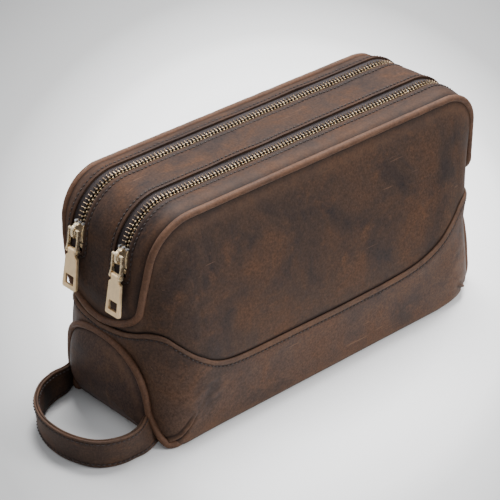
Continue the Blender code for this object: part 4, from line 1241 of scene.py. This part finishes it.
def tab_plate(bm):
    """A tapering plate with a neck at its top and a window near its wide end."""
    half_thick, neck, top, end, cut_off = 0.0011, 0.0034, 0.0052, 0.0063, 0.0009
    window, high, low = 0.0037, -0.0160, -0.0222
    right = [(neck, 0.0012), (neck, -0.0034), (top, -0.0043)]
    right += [(end, cut_off - TAB_LENGTH), (end - cut_off, -TAB_LENGTH)]
    outline = right + [(-y, z) for y, z in right[::-1]]
    outline += [(-window, high), (window, high), (window, low), (-window, low)]
    flat = ((9, 0, 1, 8), (8, 1, 2, 7), (7, 2, 11, 10), (2, 3, 12, 11), (3, 4, 5, 6, 13, 12), (6, 7, 10, 13))
    sides = [[bm.verts.new((x, y, z)) for y, z in outline] for x in (-half_thick, half_thick)]
    for verts in sides:
        for face in flat:
            bm.faces.new([verts[i] for i in face])
    for ring in (range(10), range(10, 14)):
        for a, b in zip(ring, [*ring[1:], ring[0]]):
            bm.faces.new((sides[0][a], sides[0][b], sides[1][b], sides[1][a]))
    bmesh.ops.recalc_face_normals(bm, faces=bm.faces)


def tab(label, zip_y):
    hinge = (LINK_AXIS_X - LINK_STANDOFF, 0, LINK_AXIS_Z - LINK_REACH)
    placed = slider_frame(zip_y) @ Matrix.Translation(hinge)
    made = hard_pieces(label, "tab", placed, (
        ("tab_plate", tab_plate, TAB_BRASS, 0.00035, 3),
        ("tab_barrel", lambda bm: prism(bm, polygon(0.0017, 0, 16), -0.0031, 0.0031), TAB_BRASS, 0.00025, 2),
    ))
    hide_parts(f"{label}_pull_tab")


# ---- carrying loop ----
def strap_frames():
    """Centre line, direction across the strap's width (upwards) and outward direction, from root to root."""
    flat = spline_points(STRAP_ROUTE, 14)
    places = np.linspace(0, lengths(flat)[-1], 150)
    flat = resampled(flat, places)
    share = places / places[-1]
    ahead = unit(np.gradient(flat, axis=0))
    out = np.stack([-ahead[:, 1], ahead[:, 0], 0 * share], axis=1)
    root_front = 1 - ease(share / 0.16)
    root_back = 1 - ease((1 - share) / 0.16)
    across = np.stack([0 * share, 0.62 * root_front - 0.12 * root_back, 1 - 0 * share], axis=1)
    across += out * (0.10 * np.sin(share * math.pi))[:, None]
    across = unit(across)
    out = unit(out - across * (out * across).sum(axis=1, keepdims=True))
    height = STRAP_HALF + 0.0002 - 0.0006 * (root_front + root_back)
    centre = np.stack([flat[:, 0], flat[:, 1], height], axis=1)
    half = STRAP_HALF - 0.0010 * (root_front + root_back)
    return centre, across, out, half, places


def strap_bend(piece):
    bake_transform(piece)


def strap_layer(name, low, high, finish, node):
    """One leather layer between two distances outwards, with rounded edges."""
    centre, across, out, half, places = strap_frames()
    middle, thick = (low + high) / 2, (high - low) / 2
    corner = thick / STRAP_HALF
    turns = np.linspace(-math.pi / 2, math.pi / 2, 6)
    upper = [(1 - corner + corner * math.cos(t), math.sin(t)) for t in turns]
    upper += [(width, 1.0) for width in np.linspace(0.90, -0.90, 15)]
    ring = np.array(upper + [(-a, -b) for a, b in upper])
    edge = np.abs(ring[:, 0])
    from_stitches = (edge - STRAP_STITCH) * STRAP_HALF
    groove = 0.00022 * hump(from_stitches, 0.0006)
    rows = (
        centre[:, None]
        + across[:, None] * (ring[:, 0] * half[:, None])[..., None]
        + out[:, None] * (middle + ring[:, 1] * (thick - groove))[:, None]
    )
    rows = rows + out[:, None] * (0.0003 * ripple(rows, 0.02, 17))[..., None]
    rows[..., 2] = np.maximum(rows[..., 2], 0.0001)
    wear = 0.36 * hump(edge - 1.0, 0.07) + 0.15 * hump(edge - 0.85, 0.05)
    # painted shade along the stitch grooves
    groove_shade = 0.45 * hump(from_stitches, 0.0007)
    paint = {"wear": np.tile(wear, (len(rows), 1)), "painted_shade": np.tile(groove_shade, (len(rows), 1))}
    uv = np.stack(np.meshgrid(places, ring[:, 0] * STRAP_HALF, indexing="ij"), axis=-1)
    made = grid_object(name, rows, finish, None, loop=True, caps=True, paint=paint, uv=uv)
    edited(made)
    strap_bend(made)
    stand_in(node)


def strap_stitches():
    centre, across, out, half, _ = strap_frames()
    for word, sign in (("outer", 1), ("inner", -1)):
        for label, level in (("upper", STRAP_STITCH), ("lower", -STRAP_STITCH)):
            path = centre + across * (level * half)[:, None] + out * (sign * (STRAP_LAYER - 0.00003))
            strap_bend(stitch_row(f"strap_stitches_{word}_{label}", path[4:-4], (out * sign)[4:-4], None))


# ---- everything ----
def build_bag():
    upper_panel("front", -1, UPPER)
    upper_panel("back", 1, BACK)
    lower_wrap()
    for label, side in (("left", -1), ("right", 1)):
        end_panel(label, side)
        end_piping(label, side)
    gusset_piping()
    gusset()


def finish_cad_nodes():
    """The nodes that stay as the CAD has them get these finishes."""
    plain = {"front_lining": LINING, "back_lining": LINING, "divider_board": LINING, "base_board": BOARD}
    for label in ("front", "back"):
        for part in ("top_stop_front", "top_stop_rear", "bottom_stop"):
            plain[f"{label}_zip_{part}"] = TOOTH_BRASS
    for name, finish in plain.items():
        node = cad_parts[name]
        node.data.materials.clear()
        node.data.materials.append(finish)


def studio():
    """A pale floor whose colour is painted darker away from the bag, a painted light falloff; large soft
    lights, and the camera.
    """
    n = Nodes("pale_floor")
    oval = n.node("ShaderNodeMapping", {
        "Vector": n.node("ShaderNodeTexCoord").outputs["Object"],
        "Location": (0.0850, 0.0800, 0),
        "Rotation": (0, 0, math.radians(-42.63)),
        "Scale": (0.1534, 0.3030, 1),
    }, vector_type="TEXTURE")
    length = n.node("ShaderNodeVectorMath", {0: oval.outputs["Vector"]}, operation="LENGTH")
    # painted light falloff: the floor's colour darkens from the middle towards the frame's corners
    stops = ((0.0, 0.95), (0.40, 0.93), (0.50, 0.76), (0.55, 0.58), (0.705, 0.31), (1.0, 0.19))
    away = n.maths("MULTIPLY", length.outputs["Value"], 0.5)
    painted_falloff = n.ramp(away, tuple((at, (grey, grey, grey)) for at, grey in stops))
    grain = n.noise(n.place(), 300.0)
    finish = n.finish(painted_falloff, 0.75, ((grain, 0.02, 0.0002),), Specular_IOR_Level=0.2)
    rows = [[(x, y, -0.0002) for x in np.linspace(-3, 3, 25)] for y in np.linspace(-3, 3, 25)]
    floor = grid_object("studio_floor", rows, finish, None)

    world = bpy.data.worlds.new("studio")
    world.use_nodes = True
    world.node_tree.nodes["Background"].inputs["Color"].default_value = (0.95, 0.97, 1.0, 1)
    world.node_tree.nodes["Background"].inputs["Strength"].default_value = 0.80
    bpy.context.scene.world = world

    def aimed(name, data, place, target):
        made = bpy.data.objects.new(name, data)
        bpy.context.scene.collection.objects.link(made)
        made.location = place
        made.rotation_euler = (Vector(target) - Vector(place)).to_track_quat("-Z", "Y").to_euler()
        return made

    for name, place, height, size, power in (
        ("overhead", (0.80, 0.55, 2.3), 0.05, 1.4, 150.0),
        ("key", (1.4, -1.9, 1.6), 0.06, 1.1, 54.0),
        ("rim", (-1.1, 1.9, 1.4), 0.08, 1.2, 9.0),
    ):
        light = bpy.data.lights.new(name, "AREA")
        light.shape, light.size, light.energy = "DISK", size, power
        aimed(name, light, place, (0, 0, height))
    data = bpy.data.cameras.new("camera")
    data.lens, data.sensor_width = 155.24, 36.0
    place, target = (-0.8019, -0.8473, 0.7466), (-0.03277, -0.01191, 0.07521)
    bpy.context.scene.camera = aimed("camera", data, place, target)


build_bag()
for label, zip_y in (("front", -ZIP_Y), ("back", ZIP_Y)):
    for make in (slot_stitches, zip_chain, slider, link, tab):
        make(label, zip_y)
strap_layer("strap_outer", STRAP_GAP, STRAP_GAP + STRAP_LAYER, STRAP, "strap_outer_layer")
strap_layer("strap_inner", -STRAP_GAP - STRAP_LAYER, -STRAP_GAP, STRAP_INSIDE, "strap_inner_layer")
strap_stitches()
finish_cad_nodes()
studio()
